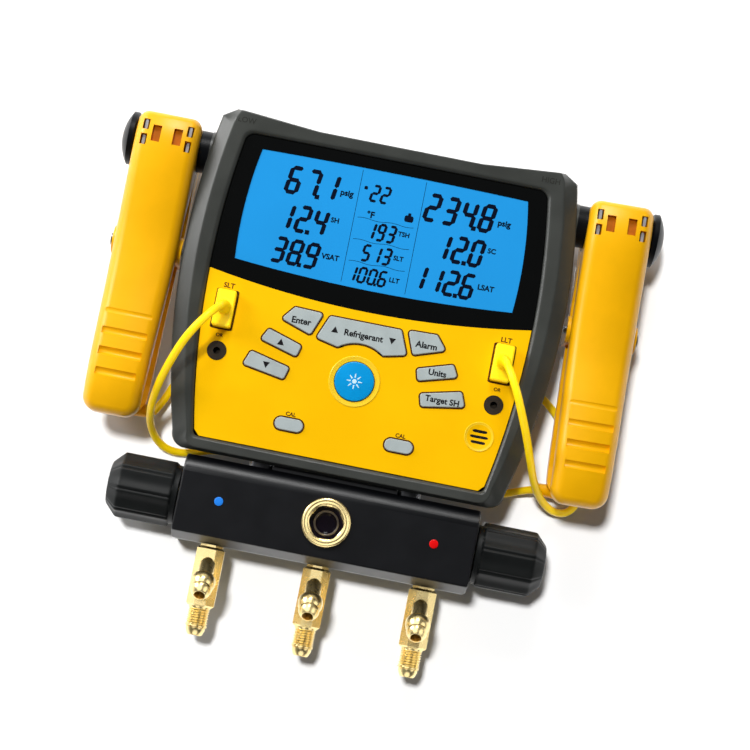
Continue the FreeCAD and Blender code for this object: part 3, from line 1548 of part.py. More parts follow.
tail_right_route = [
    (67.0, 5.3, 10.2), (77.0, 7.6, 7.5), (86.5, 11.0, 4.6), (95.5, 14.5, 5.6),
]


def relief_mouth(side):
    """Middle of a strain relief's outer end, on its clamp."""
    mouth_x = clamp_x - clamp_foot_half - relief_length
    mouth = Part.Vertex(mouth_x, above(relief_height), relief_z)
    point = clamp_placed(mouth, side).Point
    return (point.x, point.y, point.z)


def make_tail(name, side, route):
    """Cord from the coil into the rear arm's strain relief."""
    return cord_tube(name, placed(route) + [relief_mouth(side)])


def build():
    os.makedirs("parts", exist_ok=True)
    rear_case = make_rear_case()
    for pillar in make_board_posts():
        rear_case = rear_case.fuse(pillar)
    save("rear_case", rear_case)
    save("front_bezel", make_front_bezel())
    save("display_surround", make_display_surround())
    save("lcd_module", make_lcd_module())
    save("keypad_panel", make_keypad_panel())
    save("main_board", make_main_board())
    save("speaker", make_speaker())
    save("sensor_jacks", make_sensor_jacks())
    save("battery_door", make_battery_door())
    save("batteries", make_batteries())
    save("case_screws", make_screws())
    save("rubber_feet", make_rubber_feet())
    save("hanging_hook", make_hanging_hook())
    save("neck_bracket", make_neck_bracket())
    for name, wire in key_wires().items():
        save(name, make_key(wire))
    save("manifold_block", make_manifold_block())
    save("sight_ring", make_sight_ring())
    save("sight_glass", make_sight_glass())
    save("pressure_sensors", make_pressure_sensors())
    for place, name in ((-1, "left"), (0, "center"), (1, "right")):
        save("fitting_" + name, make_fitting(place))
    jaw_plate = make_jaw_plate()
    for side, name in ((-1, "left"), (1, "right")):
        save("valve_stem_" + name, make_valve_stem(side))
        save("packing_nut_" + name, make_packing_nut(side))
        save("knob_" + name, make_knob(side))
        save("post_" + name, make_post(side))
        save("front_arm_" + name, make_front_arm(side))
        save("rear_arm_" + name, make_rear_arm(side))
        save("front_jaw_" + name, clamp_placed(to_front(jaw_plate), side))
        save("rear_jaw_" + name, clamp_placed(to_back(jaw_plate), side))
        save("pivot_pin_" + name, make_pivot_pin(side))
        save("clamp_spring_" + name, make_clamp_spring(side))
        save("plug_" + name, make_plug(side))
        save("coil_" + name, make_coil(side))
    save("lead_left", cord_tube("lead_left", placed(lead_left_route)))
    save("lead_right", cord_tube("lead_right", placed(lead_right_route)))
    save("tail_left", make_tail("tail_left", -1, tail_left_route))
    save("tail_right", make_tail("tail_right", 1, tail_right_route))


build()
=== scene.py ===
import json
import math

import bmesh
import bpy
import numpy as np
from mathutils import Matrix, Vector


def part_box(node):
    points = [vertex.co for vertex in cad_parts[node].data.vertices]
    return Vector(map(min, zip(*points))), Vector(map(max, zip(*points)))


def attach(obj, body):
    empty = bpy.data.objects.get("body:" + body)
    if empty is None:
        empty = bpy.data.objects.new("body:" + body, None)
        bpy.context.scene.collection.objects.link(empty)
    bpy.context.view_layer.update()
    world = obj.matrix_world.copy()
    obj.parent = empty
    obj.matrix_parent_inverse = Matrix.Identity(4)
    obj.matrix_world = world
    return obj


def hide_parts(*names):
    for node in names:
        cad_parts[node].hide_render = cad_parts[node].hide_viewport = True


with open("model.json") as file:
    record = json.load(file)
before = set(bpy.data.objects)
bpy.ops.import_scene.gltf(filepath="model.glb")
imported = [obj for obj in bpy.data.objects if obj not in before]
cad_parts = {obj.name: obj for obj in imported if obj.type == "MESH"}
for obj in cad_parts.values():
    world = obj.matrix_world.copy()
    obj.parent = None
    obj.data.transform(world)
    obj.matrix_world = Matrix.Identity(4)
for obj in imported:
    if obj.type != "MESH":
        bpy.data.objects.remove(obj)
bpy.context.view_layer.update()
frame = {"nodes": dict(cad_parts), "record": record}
nodes = frame["nodes"]
print("frame loaded:", len(nodes), "nodes")

# Sizes are in millimetres, and a height is above the housing's bottom edge
levels = {
    "housingBottom": -42.4, "blockMiddle": -65.4, "blockFront": 42.0, "panelFront": 42.0,
    "keyFront": 43.0, "glassFront": 41.7, "bezelFront": 44.0,
}


# Rows of x, height and z become the frame's metres
def placed(points):
    spots = np.array(points, float).reshape(-1, 3)
    return (spots + (0, levels["housingBottom"], 0)) / 1000


# A colour as a screen gives it, 0 to 255, becomes the light it stands for
def screenColour(red, green, blue):
    part = np.array([red, green, blue]) / 255
    light = np.where(part <= 0.04045, part / 12.92, ((part + 0.055) / 1.055) ** 2.4)
    return (*light.tolist(), 1.0)


camera = {
    "place": (0.0095, -0.1103, 1.0366), "tilt": 7.0, "roll": 11.2,  # metres and degrees
    "lens": 96.0, "sensor": 36.0, "farthest": 20.0,
}


# The camera looks almost straight down, leant up the gauge by the tilt and rolled about its own line of sight
def makeCamera():
    data = bpy.data.cameras.new("camera")
    data.lens = camera["lens"]
    data.sensor_width = camera["sensor"]
    data.clip_end = camera["farthest"]
    item = newObject("camera", data)
    tilt = math.radians(camera["tilt"])
    roll = math.radians(camera["roll"])
    right = Vector((1, 0, 0))
    up = Vector((0, math.cos(tilt), math.sin(tilt)))
    back = right.cross(up)
    turnedRight = right * math.cos(roll) + up * math.sin(roll)
    turnedUp = up * math.cos(roll) - right * math.sin(roll)
    turn = Matrix((turnedRight, turnedUp, back)).transposed()
    item.matrix_world = Matrix.Translation(camera["place"]) @ turn.to_4x4()
    bpy.context.scene.camera = item


# Quads between the neighbours of a grid, with a closed direction joined back to its start
def gridFaces(rows, columns, closeRows=False, closeColumns=True):
    row = np.arange(rows if closeRows else rows - 1)[:, None]
    column = np.arange(columns if closeColumns else columns - 1)[None, :]
    nextRow = (row + 1) % rows
    nextColumn = (column + 1) % columns
    corners = (row * columns + column, row * columns + nextColumn,
               nextRow * columns + nextColumn, nextRow * columns + column)
    return np.stack(np.broadcast_arrays(*corners), -1).reshape(-1, 4).tolist()


# Quads of a tube, with a face over each end that is asked for
def tubeFaces(rows, steps, first=True, last=True):
    faces = gridFaces(rows, steps)
    if first:
        faces.append(list(range(steps))[::-1])
    if last:
        faces.append(list(range((rows - 1) * steps, rows * steps)))
    return faces


# Several shells of corners and faces become one mesh; doubles are merged, and every shell is turned to face outwards
def shellMesh(name, parts, material, smooth=True, sharp=None, turnOut=True, doubles=1e-7):
    corners = []
    faces = []
    count = 0
    for spots, quads in parts:
        corners += spots.tolist()
        faces += [[count + i for i in face] for face in quads]
        count += len(spots)
    mesh = bpy.data.meshes.new(name)
    mesh.from_pydata(corners, [], faces)
    work = bmesh.new()
    work.from_mesh(mesh)
    bmesh.ops.remove_doubles(work, verts=work.verts, dist=doubles)
    if turnOut:
        bmesh.ops.recalc_face_normals(work, faces=work.faces)
    work.to_mesh(mesh)
    work.free()
    mesh.polygons.foreach_set("use_smooth", np.full(len(mesh.polygons), smooth))
    if smooth and sharp:
        mesh.set_sharp_from_angle(angle=math.radians(sharp))
    mesh.materials.append(material)
    return mesh


# A new object stands at the origin, and its shape holds its place
def newObject(name, data):
    item = bpy.data.objects.new(name, data)
    bpy.context.scene.collection.objects.link(item)
    return item


# A new piece rides on its body, and takes the look named by its slot where it has none of its own; shading
# holds the mesh's smooth, sharp and turnOut
def addPiece(name, parts, slotName, look=None, body="gauge", **shading):
    item = newObject(name, shellMesh(name, parts, finishes[look or slotName], **shading))
    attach(item, body)
    return item


makeCamera()
print("camera placed")


# Ring of points: a profile's distance along the axis and its radius, carried once round the axis; lobes may change
# the radius with the angle
def turned(profile, middle, axis, steps, lobes=None):
    along = np.array(profile, float)
    axis = np.array(axis, float) / np.linalg.norm(axis)
    across = np.cross(axis, (0, 0, 1) if abs(axis[2]) < 0.9 else (1, 0, 0))
    across /= np.linalg.norm(across)
    third = np.cross(axis, across)
    angle = np.linspace(0, 2 * math.pi, steps, endpoint=False)
    radius = along[:, 1][:, None] * np.ones(steps)[None, :]
    if lobes is not None:
        radius = lobes(along[:, 0][:, None], angle[None, :], radius)
    ring = np.cos(angle)[:, None] * across + np.sin(angle)[:, None] * third
    spots = np.array(middle, float) + along[:, 0][:, None, None] * axis + radius[:, :, None] * ring[None]
    return spots.reshape(-1, 3) / 1000, tubeFaces(len(along), steps, along[0, 1] > 0, along[-1, 1] > 0)


# Closed ring: a profile that comes back to its start, carried once round an upright axis
def turnedRing(profile, middle, steps, lobes=None):
    spots, _ = turned(profile, middle, (0, 0, 1), steps, lobes)
    return spots, gridFaces(len(profile), steps, closeRows=True)


# A flat outline between two levels: a wall of quads round it, and a face at each end
def slab(outline, low, high):
    outline = np.array(outline, float)
    count = len(outline)
    bottom = np.column_stack([outline, np.full(count, low)])
    top = np.column_stack([outline, np.full(count, high)])
    return placed(np.vstack([bottom, top])), tubeFaces(2, count)


# A swollen oval: cosine and sine raised to a power under 1, each with its own half width
def softOval(turn, half, power):
    across, up = np.cos(turn), np.sin(turn)
    return (np.sign(across) * np.abs(across) ** power * half[0], np.sign(up) * np.abs(up) ** power * half[1])


# A small plate with round sides: the square roots of cosine and sine, each times its half width
def roundPlate(x, height, half, low, top):
    across, up = softOval(np.linspace(0, 2 * math.pi, 24, endpoint=False), half, 0.5)
    return np.column_stack([x + across, height + up]), low, top


# Circle carried along a line: every ring lies across the line's direction there, and starts off its sideways vector
def tubeAlong(line, radii, steps=32, sideways=(1, 0, 0.2)):
    line = np.array(line, float)
    way = np.gradient(line, axis=0)
    way /= np.linalg.norm(way, axis=1)[:, None]
    across = np.cross(way, sideways)
    across /= np.linalg.norm(across, axis=1)[:, None]
    third = np.cross(way, across)
    angle = np.linspace(0, 2 * math.pi, steps, endpoint=False)
    ring = np.cos(angle)[None, :, None] * across[:, None] + np.sin(angle)[None, :, None] * third[:, None]
    spots = line[:, None] + np.array(radii)[:, None, None] * ring
    return spots.reshape(-1, 3), tubeFaces(len(line), steps)


# A shader node whose inputs are set by name or number: a socket is linked, and a number or a colour is held
def addNode(tree, kind, inputs=()):
    node = tree.nodes.new("ShaderNode" + kind)
    for name, value in dict(inputs).items():
        if isinstance(value, bpy.types.NodeSocket):
            tree.links.new(value, node.inputs[name])
        else:
            node.inputs[name].default_value = value
    return node


# Every finish starts from the object's own coordinates, in metres
def newMaterial(name):
    material = bpy.data.materials.new(name)
    material.use_nodes = True
    tree = material.node_tree
    tree.nodes.clear()
    shader = addNode(tree, "BsdfPrincipled")
    addNode(tree, "OutputMaterial", {"Surface": shader.outputs["BSDF"]})
    return material, tree, shader, addNode(tree, "TexCoord").outputs["Object"]


# Cloudy values from 0 to 1 over the object, stretched along an axis where brushed metal asks for it
def noise(tree, coordinates, scale, detail, stretch=None):
    if stretch:
        coordinates = addNode(tree, "Mapping", {"Scale": stretch, "Vector": coordinates}).outputs["Vector"]
    return addNode(tree, "TexNoise", {"Scale": scale, "Detail": detail, "Vector": coordinates}).outputs["Fac"]


# Colours that run straight from one stop to the next, each a position and a colour
def ramp(tree, factor, stops):
    node = addNode(tree, "ValToRGB", {"Fac": factor})
    bands = node.color_ramp.elements
    while len(bands) < len(stops):
        bands.new(0.5)
    for band, (position, colour) in zip(bands, stops):
        band.position = position
        band.color = colour
    return node.outputs["Color"]


# Number that runs straight from low to high while the factor goes from start to end
def spread(tree, factor, low, high, start=0.3, end=0.7):
    limits = {"From Min": start, "From Max": end, "To Min": low, "To Max": high, "Value": factor}
    return addNode(tree, "MapRange", limits).outputs["Result"]


# A bump lies over the one already on the shader
def addBump(tree, shader, height, depth):
    bump = addNode(tree, "Bump", {"Distance": depth, "Strength": 1.0, "Height": height})
    if shader.inputs["Normal"].is_linked:
        tree.links.new(shader.inputs["Normal"].links[0].from_socket, bump.inputs["Normal"])
    tree.links.new(bump.outputs["Normal"], shader.inputs["Normal"])


# One sum on numbers or sockets, named as Blender's Math node names it
def calculate(tree, operation, *values):
    node = addNode(tree, "Math", enumerate(values))
    node.operation = operation
    return node.outputs[0]


# Height of a crowned face: it falls with the square of the distance from the middle line on either side
def crownHeight(tree, coordinates, middle, radius):
    split = addNode(tree, "SeparateXYZ", {0: coordinates})
    away = calculate(tree, "SUBTRACT", calculate(tree, "ABSOLUTE", split.outputs["X"]), middle)
    return calculate(tree, "MULTIPLY", calculate(tree, "MULTIPLY", away, away), -0.5 / radius)


softLight = (0.004, 0.0024, 0.0006)  # how far red, green and blue go below the surface, in metres


# One finish: a colour that drifts a little, a roughness that drifts with it, and a fine grain
def finish(name, colour, rough=0.5, drift=0.06, driftScale=45.0, grain=900.0, grainDepth=0.00003,
           metallic=0.0, specular=0.5, stretch=None, glow=0.0, crown=None, soft=0.0, roughDrift=0.06):
    material, tree, shader, coordinates = newMaterial(name)
    base = np.array(screenColour(*colour))
    low = np.append(base[:3] * (1 - drift), 1)
    high = np.append(np.minimum(base[:3] * (1 + drift), 1), 1)
    patches = noise(tree, coordinates, driftScale, 4.0)
    shade = ramp(tree, patches, [(0.35, low), (0.65, high)])
    tree.links.new(shade, shader.inputs["Base Color"])
    gloss = spread(tree, patches, rough * (1 - roughDrift), rough * (1 + roughDrift))
    tree.links.new(gloss, shader.inputs["Roughness"])
    if grainDepth > 0:
        addBump(tree, shader, noise(tree, coordinates, grain, 2.0, stretch), grainDepth)
    if crown:
        addBump(tree, shader, crownHeight(tree, coordinates, *crown), 1.0)
    shader.inputs["Metallic"].default_value = metallic
    shader.inputs["Specular IOR Level"].default_value = specular
    shader.inputs["Subsurface Weight"].default_value = soft
    shader.inputs["Subsurface Radius"].default_value = softLight
    shader.inputs["Subsurface Scale"].default_value = 1.0
    if glow > 0:
        tree.links.new(shade, shader.inputs["Emission Color"])
        shader.inputs["Emission Strength"].default_value = glow
    return material


finishes = {
    "case_dark": finish("caseDark", (58, 60, 57), rough=0.36, drift=0.10, driftScale=60, grain=2600,
                        grainDepth=0.000035),
    "display_black": finish("displayBlack", (9, 10, 10), rough=0.16, drift=0.05, grainDepth=0.0, specular=0.2),
    "display_blue": finish("displayBlue", (32, 141, 210), rough=0.3, drift=0.04, driftScale=14, grainDepth=0.0,
                           specular=0.1, glow=0.12),
    "panel_yellow": finish("panelYellow", (255, 194, 0), rough=0.44, drift=0.03, driftScale=30, grain=1500,
                           grainDepth=0.000012, specular=0.15),
    "key_grey": finish("keyGrey", (172, 182, 182), rough=0.58, drift=0.05, driftScale=120, grain=1800,
                       grainDepth=0.000015, specular=0.3),
    "button_blue": finish("buttonBlue", (6, 150, 218), rough=0.30, drift=0.05, driftScale=90, grain=1200,
                          grainDepth=0.000008, specular=0.3),
    "clamp_yellow": finish("clampYellow", (247, 181, 1), rough=0.36, drift=0.05, driftScale=35, grain=1400,
                           grainDepth=0.000012, specular=0.45, crown=(0.117, 0.050)),
    "block_black": finish("blockBlack", (16, 17, 20), rough=0.40, drift=0.10, driftScale=70, grain=2600,
                          grainDepth=0.000016, specular=0.6),
    "knob_black": finish("knobBlack", (23, 25, 25), rough=0.50, drift=0.10, driftScale=80, grain=1900,
                         grainDepth=0.00003, specular=0.32),
    "brass": finish("brass", (252, 226, 160), rough=0.27, drift=0.05, driftScale=140, grain=700,
                    grainDepth=0.000002, metallic=1.0, stretch=(1, 6, 1)),
    "steel": finish("steel", (150, 152, 156), rough=0.34, driftScale=150, grainDepth=0.00001, metallic=1.0,
                    stretch=(6, 1, 1)),
    "black_plastic": finish("blackPlastic", (10, 12, 15), rough=0.38, drift=0.10, driftScale=80, grain=1600,
                            grainDepth=0.000015, specular=0.18),
    "foot_rubber": finish("footRubber", (30, 30, 30), rough=0.75, drift=0.08, driftScale=200, grain=1500,
                          grainDepth=0.00004, specular=0.3),
    "cord_yellow": finish("cordYellow", (255, 212, 4), soft=0.15, rough=0.36, drift=0.04, driftScale=90, grain=1300,
                          grainDepth=0.000012, specular=0.3),
    "board_green": finish("boardGreen", (28, 92, 58), rough=0.42, drift=0.12, driftScale=220,
                          grainDepth=0.00002),
    "cell_case": finish("cellCase", (58, 58, 64), rough=0.32, drift=0.10, driftScale=120, metallic=0.6,
                        grainDepth=0.000008),
    # The sight glass is near black, painted shade of the unlit chamber behind the clear glass
    "clear_glass": finish("glassShade", (16, 9, 20), rough=0.10, drift=0.15, driftScale=120, grainDepth=0.0),
    "jackBrown": finish("jackBrown", (50, 44, 37), rough=0.5, drift=0.08, driftScale=200, specular=0.2),
}
for part in frame["record"]["subparts"]:
    for socket in nodes[part["node"]].material_slots:
        socket.material = finishes["jackBrown" if part["node"] == "sensor_jacks" else part["material_slot"]]
print("finishes made:", len(finishes))


# Front frame: outlines as corner points, or as arcs from the point before through a middle point to an end
bezel = {
    "middle": (0.0, 88.0), "directions": 1200, "soften": 1.0, "openingSoften": 0.6,
    "outer": [(-42.0, 171.5), (42.0, 171.5), (85.0, 175.0), (92.0, 170.5), ("arc", (98.0, 103.95), (84.6, 8.0)),
              ("arc", (82.3, 2.2), (76.5, 0.0)), (-76.5, 0.0), ("arc", (-82.3, 2.2), (-84.6, 8.0)),
              ("arc", (-98.0, 103.95), (-92.0, 170.5)), (-85.0, 175.0)],
    "ridge": [(-42.0, 170.4), (42.0, 170.4), (82.6, 173.9), (84.6, 170.0), ("arc", (90.4, 103.95), (77.0, 8.0)),
              ("arc", (75.6, 3.0), (71.5, 1.1)), (-71.5, 1.1), ("arc", (-75.6, 3.0), (-77.0, 8.0)),
              ("arc", (-90.4, 103.95), (-84.6, 170.0)), (-82.6, 173.9)],
    "opening": [(-73.0, 163.2), (73.0, 163.2), ("arc", (76.68, 161.68), (78.2, 158.0)),
                ("arc", (82.6, 100.0), (73.8, 10.0)), ("arc", (73.0, 7.9), (71.0, 7.1)), (-71.0, 7.1),
                ("arc", (-73.0, 7.9), (-73.8, 10.0)), ("arc", (-82.6, 100.0), (-78.2, 158.0)),
                ("arc", (-76.68, 161.68), (-73.0, 163.2))],
    "edgeLevel": 39.0, "frontLevel": 44.0, "lipLevel": 43.6, "plateLevel": 41.3, "bevel": 2.0,
    "backInset": 0.4, "backOutset": 0.8, "edgeShare": 0.06, "edgeRise": 0.7, "lipShare": 0.65, "lipDrop": 0.9,
    "rows": [3, 3, 22, 16, 7, 5, 2], "easing": 3,
}


# Points of a circle's arc from a start through a middle point to an end
def arcThrough(start, middle, end, count=60):
    p, q, r = (np.array(v, float) for v in (start, middle, end))
    side = 2 * ((q[0] - p[0]) * (r[1] - p[1]) - (q[1] - p[1]) * (r[0] - p[0]))
    pq, pr = q - p, r - p
    centre = p + np.array([pr[1] * (pq @ pq) - pq[1] * (pr @ pr), pq[0] * (pr @ pr) - pr[0] * (pq @ pq)]) / side
    radius = np.linalg.norm(p - centre)
    first, between, last = (math.atan2(*(v - centre)[::-1]) for v in (p, q, r))
    turn = (last - first) % (2 * math.pi)
    if (between - first) % (2 * math.pi) > turn:
        turn -= 2 * math.pi
    angle = first + turn * np.linspace(0, 1, count)
    return centre + radius * np.column_stack([np.cos(angle), np.sin(angle)])


# How far along a line each of its points lies: the sum of the steps before it
def lineTravel(line):
    return np.append(0, np.cumsum(np.linalg.norm(np.diff(line, axis=0), axis=1)))


# Points of a line at given distances along it, straight between its own points
def walked(line, gone, stops):
    return np.column_stack([np.interp(stops, gone, line[:, i]) for i in range(line.shape[1])])


# A closed outline as even points, each the mean of its neighbours within the softening length
def softOutline(steps, soften, spacing=0.2):
    line = []
    for step in steps:
        line += arcThrough(line[-1], step[1], step[2]).tolist()[1:] if step[0] == "arc" else [step]
    line = np.array(line + [line[0]], float)
    gone = lineTravel(line)
    even = walked(line, gone, np.linspace(0, gone[-1], int(gone[-1] / spacing), endpoint=False))
    reach = max(int(soften / spacing), 1)
    return np.mean([np.roll(even, shift, axis=0) for shift in range(-reach, reach + 1)], axis=0)


# An outline's distance from the middle in each direction, counted all the way round
def reachOf(outline, angle):
    away = outline - np.array(bezel["middle"])
    direction = np.arctan2(away[:, 1], away[:, 0])
    order = np.argsort(direction)
    return np.interp(angle, direction[order], np.linalg.norm(away, axis=1)[order], period=2 * math.pi)


# Rows between neighbouring outlines: the reach and the level both run straight from one to the next, and then each
# row is eased to a quarter of the row before it, half of itself and a quarter of the row after it
def makeBezelSkin():
    angle = np.linspace(-math.pi, math.pi, bezel["directions"], endpoint=False)
    outer = reachOf(softOutline(bezel["outer"], bezel["soften"]), angle)
    ridge = reachOf(softOutline(bezel["ridge"], bezel["soften"]), angle)
    opening = reachOf(softOutline(bezel["opening"], bezel["openingSoften"]), angle)
    lip = opening + bezel["bevel"]
    edgeShare, lipShare = bezel["edgeShare"], bezel["lipShare"]
    stations = [(outer - bezel["backInset"], bezel["edgeLevel"]), (outer, bezel["edgeLevel"]),
                (outer * (1 - edgeShare) + ridge * edgeShare, bezel["edgeLevel"] + bezel["edgeRise"]),
                (ridge, bezel["frontLevel"]), (lip, bezel["lipLevel"]),
                (lip * (1 - lipShare) + opening * lipShare, bezel["lipLevel"] - bezel["lipDrop"]),
                (opening, bezel["plateLevel"]), (opening + bezel["backOutset"], bezel["edgeLevel"])]
    reach, level = [stations[0][0]], [np.full(len(angle), stations[0][1])]
    for (fromReach, fromLevel), (toReach, toLevel), count in zip(stations[:-1], stations[1:], bezel["rows"]):
        for share in np.arange(1, count + 1) / count:
            reach.append(fromReach * (1 - share) + toReach * share)
            level.append(np.full(len(angle), fromLevel * (1 - share) + toLevel * share))
    reach, level = np.array(reach), np.array(level)
    for _ in range(bezel["easing"]):
        reach[2:-2] = (reach[1:-3] + reach[2:-2] * 2 + reach[3:-1]) / 4
        level[2:-2] = (level[1:-3] + level[2:-2] * 2 + level[3:-1]) / 4
    x = bezel["middle"][0] + reach * np.cos(angle)
    y = bezel["middle"][1] + reach * np.sin(angle)
    spots = placed(np.stack([x, y, level], -1).reshape(-1, 3))
    skin = addPiece("bezelSkin", [(spots, gridFaces(len(reach), len(angle), closeRows=True))],
                    "case_dark")
    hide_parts("front_bezel")


# Cords: from the plug down past the case's corner, round the coil under it, and up into the clamp's rear arm
cords = {
    "left": {
        "coil": (-61.0, 28.5), "start": -99.4, "travel": 2024.4, "length": 0.965,
        "lead": [(-71.0, 72.1, 51.0), (-71.1, 71.9, 58.6), (-73.4, 68.6, 65.4), (-77.3, 62.8, 69.4),
                 (-81.8, 56.2, 69.2), (-86.2, 49.2, 65.0), (-91.2, 39.0, 56.0), (-96.0, 27.6, 43.5),
                 (-98.8, 17.2, 28.5), (-98.2, 9.0, 14.5), (-93.6, 2.2, 5.2), (-85.0, -0.9, 2.15),
                 (-75.0, 0.8, 2.1), (-65.0, 4.4, 2.2)],
        "tail": [(-74.8, 48.2, 10.2), (-84.0, 42.0, 7.5), (-91.5, 34.5, 5.0), (-95.0, 24.0, 5.5),
                 (-98.8, 17.0, 8.6)],
    },
    "right": {
        "coil": (61.0, 28.5), "start": 114.7, "travel": 1969.8, "length": 1.04,
        "lead": [(71.0, 72.1, 51.0), (71.1, 71.9, 58.6), (72.9, 68.4, 65.4), (76.0, 62.0, 69.4),
                 (79.6, 54.9, 69.2), (83.4, 47.4, 65.0), (88.6, 37.6, 55.5), (93.8, 27.2, 42.5),
                 (98.6, 18.0, 28.0), (105.0, 10.8, 14.0), (113.2, 6.4, 5.6), (121.6, 7.6, 2.4),
                 (126.2, 16.6, 2.1), (123.6, 31.0, 2.1), (115.0, 46.5, 2.1), (105.0, 58.5, 2.1),
                 (95.0, 66.0, 2.1), (83.0, 68.5, 2.1), (71.0, 63.5, 2.1), (60.0, 54.8, 2.1), (51.0, 50.2, 2.1)],
        "tail": [(67.0, 5.3, 10.2), (77.0, 7.6, 7.5), (86.5, 11.0, 4.6), (95.5, 14.5, 5.6), (102.7, 16.5, 8.6)],
    },
}
coilTurns = {
    "step": 20.0,
    "travelled": [0, 300, 350, 590, 640, 890, 940, 1190, 1230, 1290, 1640, 1690, 3000],
    "radius": [24.3, 24.3, 20.25, 20.25, 20.25, 20.25, 24.3, 24.3, 24.3, 20.25, 20.25, 24.3, 24.3],
    "level": [2.2, 2.2, 2.2, 2.2, 6.3, 6.3, 6.3, 6.3, 10.4, 10.4, 10.4, 10.4, 10.4],
}
cordLook = {"diameter": 4.0, "order": 3, "stepsAlong": 8, "stepsRound": 6}
collarShape = {"length": 13.0, "root": 3.3, "taper": 1.15, "bend": 0.8, "ribs": 6, "ribHeight": 0.28, "rows": 60}


# Points round the coil's middle; the radius and the level follow the degrees travelled
def coilPoints(cord):
    count = int(cord["travel"] / coilTurns["step"])
    degrees = np.arange(1, count) * cord["travel"] / count
    angle = np.radians(cord["start"] + degrees)
    radius = np.interp(degrees, coilTurns["travelled"], coilTurns["radius"])
    level = np.interp(degrees, coilTurns["travelled"], coilTurns["level"])
    x, height = cord["coil"]
    return np.column_stack([x + radius * np.cos(angle), height + radius * np.sin(angle), level])


# Smooth curve that runs near the chosen points, with a round section
def cordCurve(name, points):
    curve = bpy.data.curves.new(name, "CURVE")
    curve.dimensions = "3D"
    spline = curve.splines.new("NURBS")
    spline.points.add(len(points) - 1)
    spline.points.foreach_set("co", np.column_stack([points, np.ones(len(points))]).ravel())
    spline.order_u = cordLook["order"]
    spline.use_endpoint_u = True
    spline.resolution_u = cordLook["stepsAlong"]
    curve.bevel_depth = cordLook["diameter"] / 2000
    curve.bevel_resolution = cordLook["stepsRound"]
    curve.use_fill_caps = True
    return newObject(name, curve)


# A mesh's corners, as rows
def meshPoints(mesh):
    spots = np.zeros(len(mesh.vertices) * 3)
    mesh.vertices.foreach_get("co", spots)
    return spots.reshape(-1, 3)


# Corners and faces of a curve's own mesh; the curve isn't needed after it
def curveMesh(curve):
    holder = bpy.data.objects.new("holder", curve)
    mesh = bpy.data.meshes.new_from_object(holder)
    spots = meshPoints(mesh)
    faces = [list(face.vertices) for face in mesh.polygons]
    bpy.data.objects.remove(holder)
    bpy.data.curves.remove(curve)
    bpy.data.meshes.remove(mesh)
    return spots, faces


# The line that a curve follows, read from the curve itself without its thickness
def curveLine(item):
    copy = item.data.copy()
    copy.bevel_depth = 0
    return curveMesh(copy)[0]


# Radius of the collar on the plug: it falls with a power of the share travelled, and a cosine that dies away adds
# the ribs
def collarRadius(share):
    ribs = collarShape["ribHeight"] * (0.5 + 0.5 * np.cos(2 * math.pi * share * collarShape["ribs"])) * (1 - share)
    return collarShape["root"] - collarShape["taper"] * share ** collarShape["bend"] + ribs


# A cord with its collar, which follows the cord's own line, and the ties round its coil
def makeCord(side):
    cord = cords[side]
    points = np.vstack([placed(cord["lead"]), placed(coilPoints(cord)), placed(cord["tail"])])
    item = cordCurve("cord_" + side, points)
    item.data.materials.append(finishes["cord_yellow"])
    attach(item, "gauge")
    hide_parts("lead_" + side, "coil_" + side, "tail_" + side)
    line = curveLine(item)
    gone = lineTravel(line) * 1000
    print("cord", side, "line", round(gone[-1] / 1000, 4), "m")
    share = np.linspace(0, 1, collarShape["rows"])
    follow = walked(line, gone, share * collarShape["length"])
    collar = addPiece("collar_" + side, [tubeAlong(follow, collarRadius(share) / 1000)],
                      "cord_yellow")
    ties = [makeTie(side, angle) for angle in tie["angles"]]


tie = {
    "angles": (40.0, 220.0), "width": 3.0, "thickness": 0.5, "inner": 17.9, "outer": 26.3, "low": 0.05, "high": 12.75,
    "across": [-0.5, -0.38, 0.38, 0.5], "swell": [0.0, 1.0, 1.0, 0.0], "power": 0.35, "steps": 40,
}


# Black tie round the coil's bundle: a swollen oval round the turns in four rows, the middle two as much wider as the
# tie is thick, set across the coil's direction at its angle
def makeTie(side, angle):
    x, height = cords[side]["coil"]
    halfAcross, halfUp = (tie["outer"] - tie["inner"]) / 2, (tie["high"] - tie["low"]) / 2
    turn = np.linspace(0, 2 * math.pi, tie["steps"], endpoint=False)
    ovalAcross, ovalUp = softOval(turn, (halfAcross - tie["thickness"], halfUp - tie["thickness"]), tie["power"])
    swell = np.array(tie["swell"])[:, None] * tie["thickness"]
    radial = (tie["inner"] + tie["outer"]) / 2 + ovalAcross[None] * (1 + swell / halfAcross)
    level = (tie["low"] + tie["high"]) / 2 + ovalUp[None] * (1 + swell / halfUp)
    across = np.array(tie["across"])[:, None] * tie["width"] * np.ones(tie["steps"])[None]
    way = math.radians(angle)
    spots = np.stack([x + radial * math.cos(way) - across * math.sin(way),
                      height + radial * math.sin(way) + across * math.cos(way), level], -1)
    return addPiece("tie_" + side + "_" + str(int(angle)),
                    [(placed(spots), gridFaces(len(across), tie["steps"], closeRows=True))],
                    "black_plastic")


for side in ("left", "right"):
    makeCord(side)
print("cords laid")
makeBezelSkin()
print("bezel shaped")


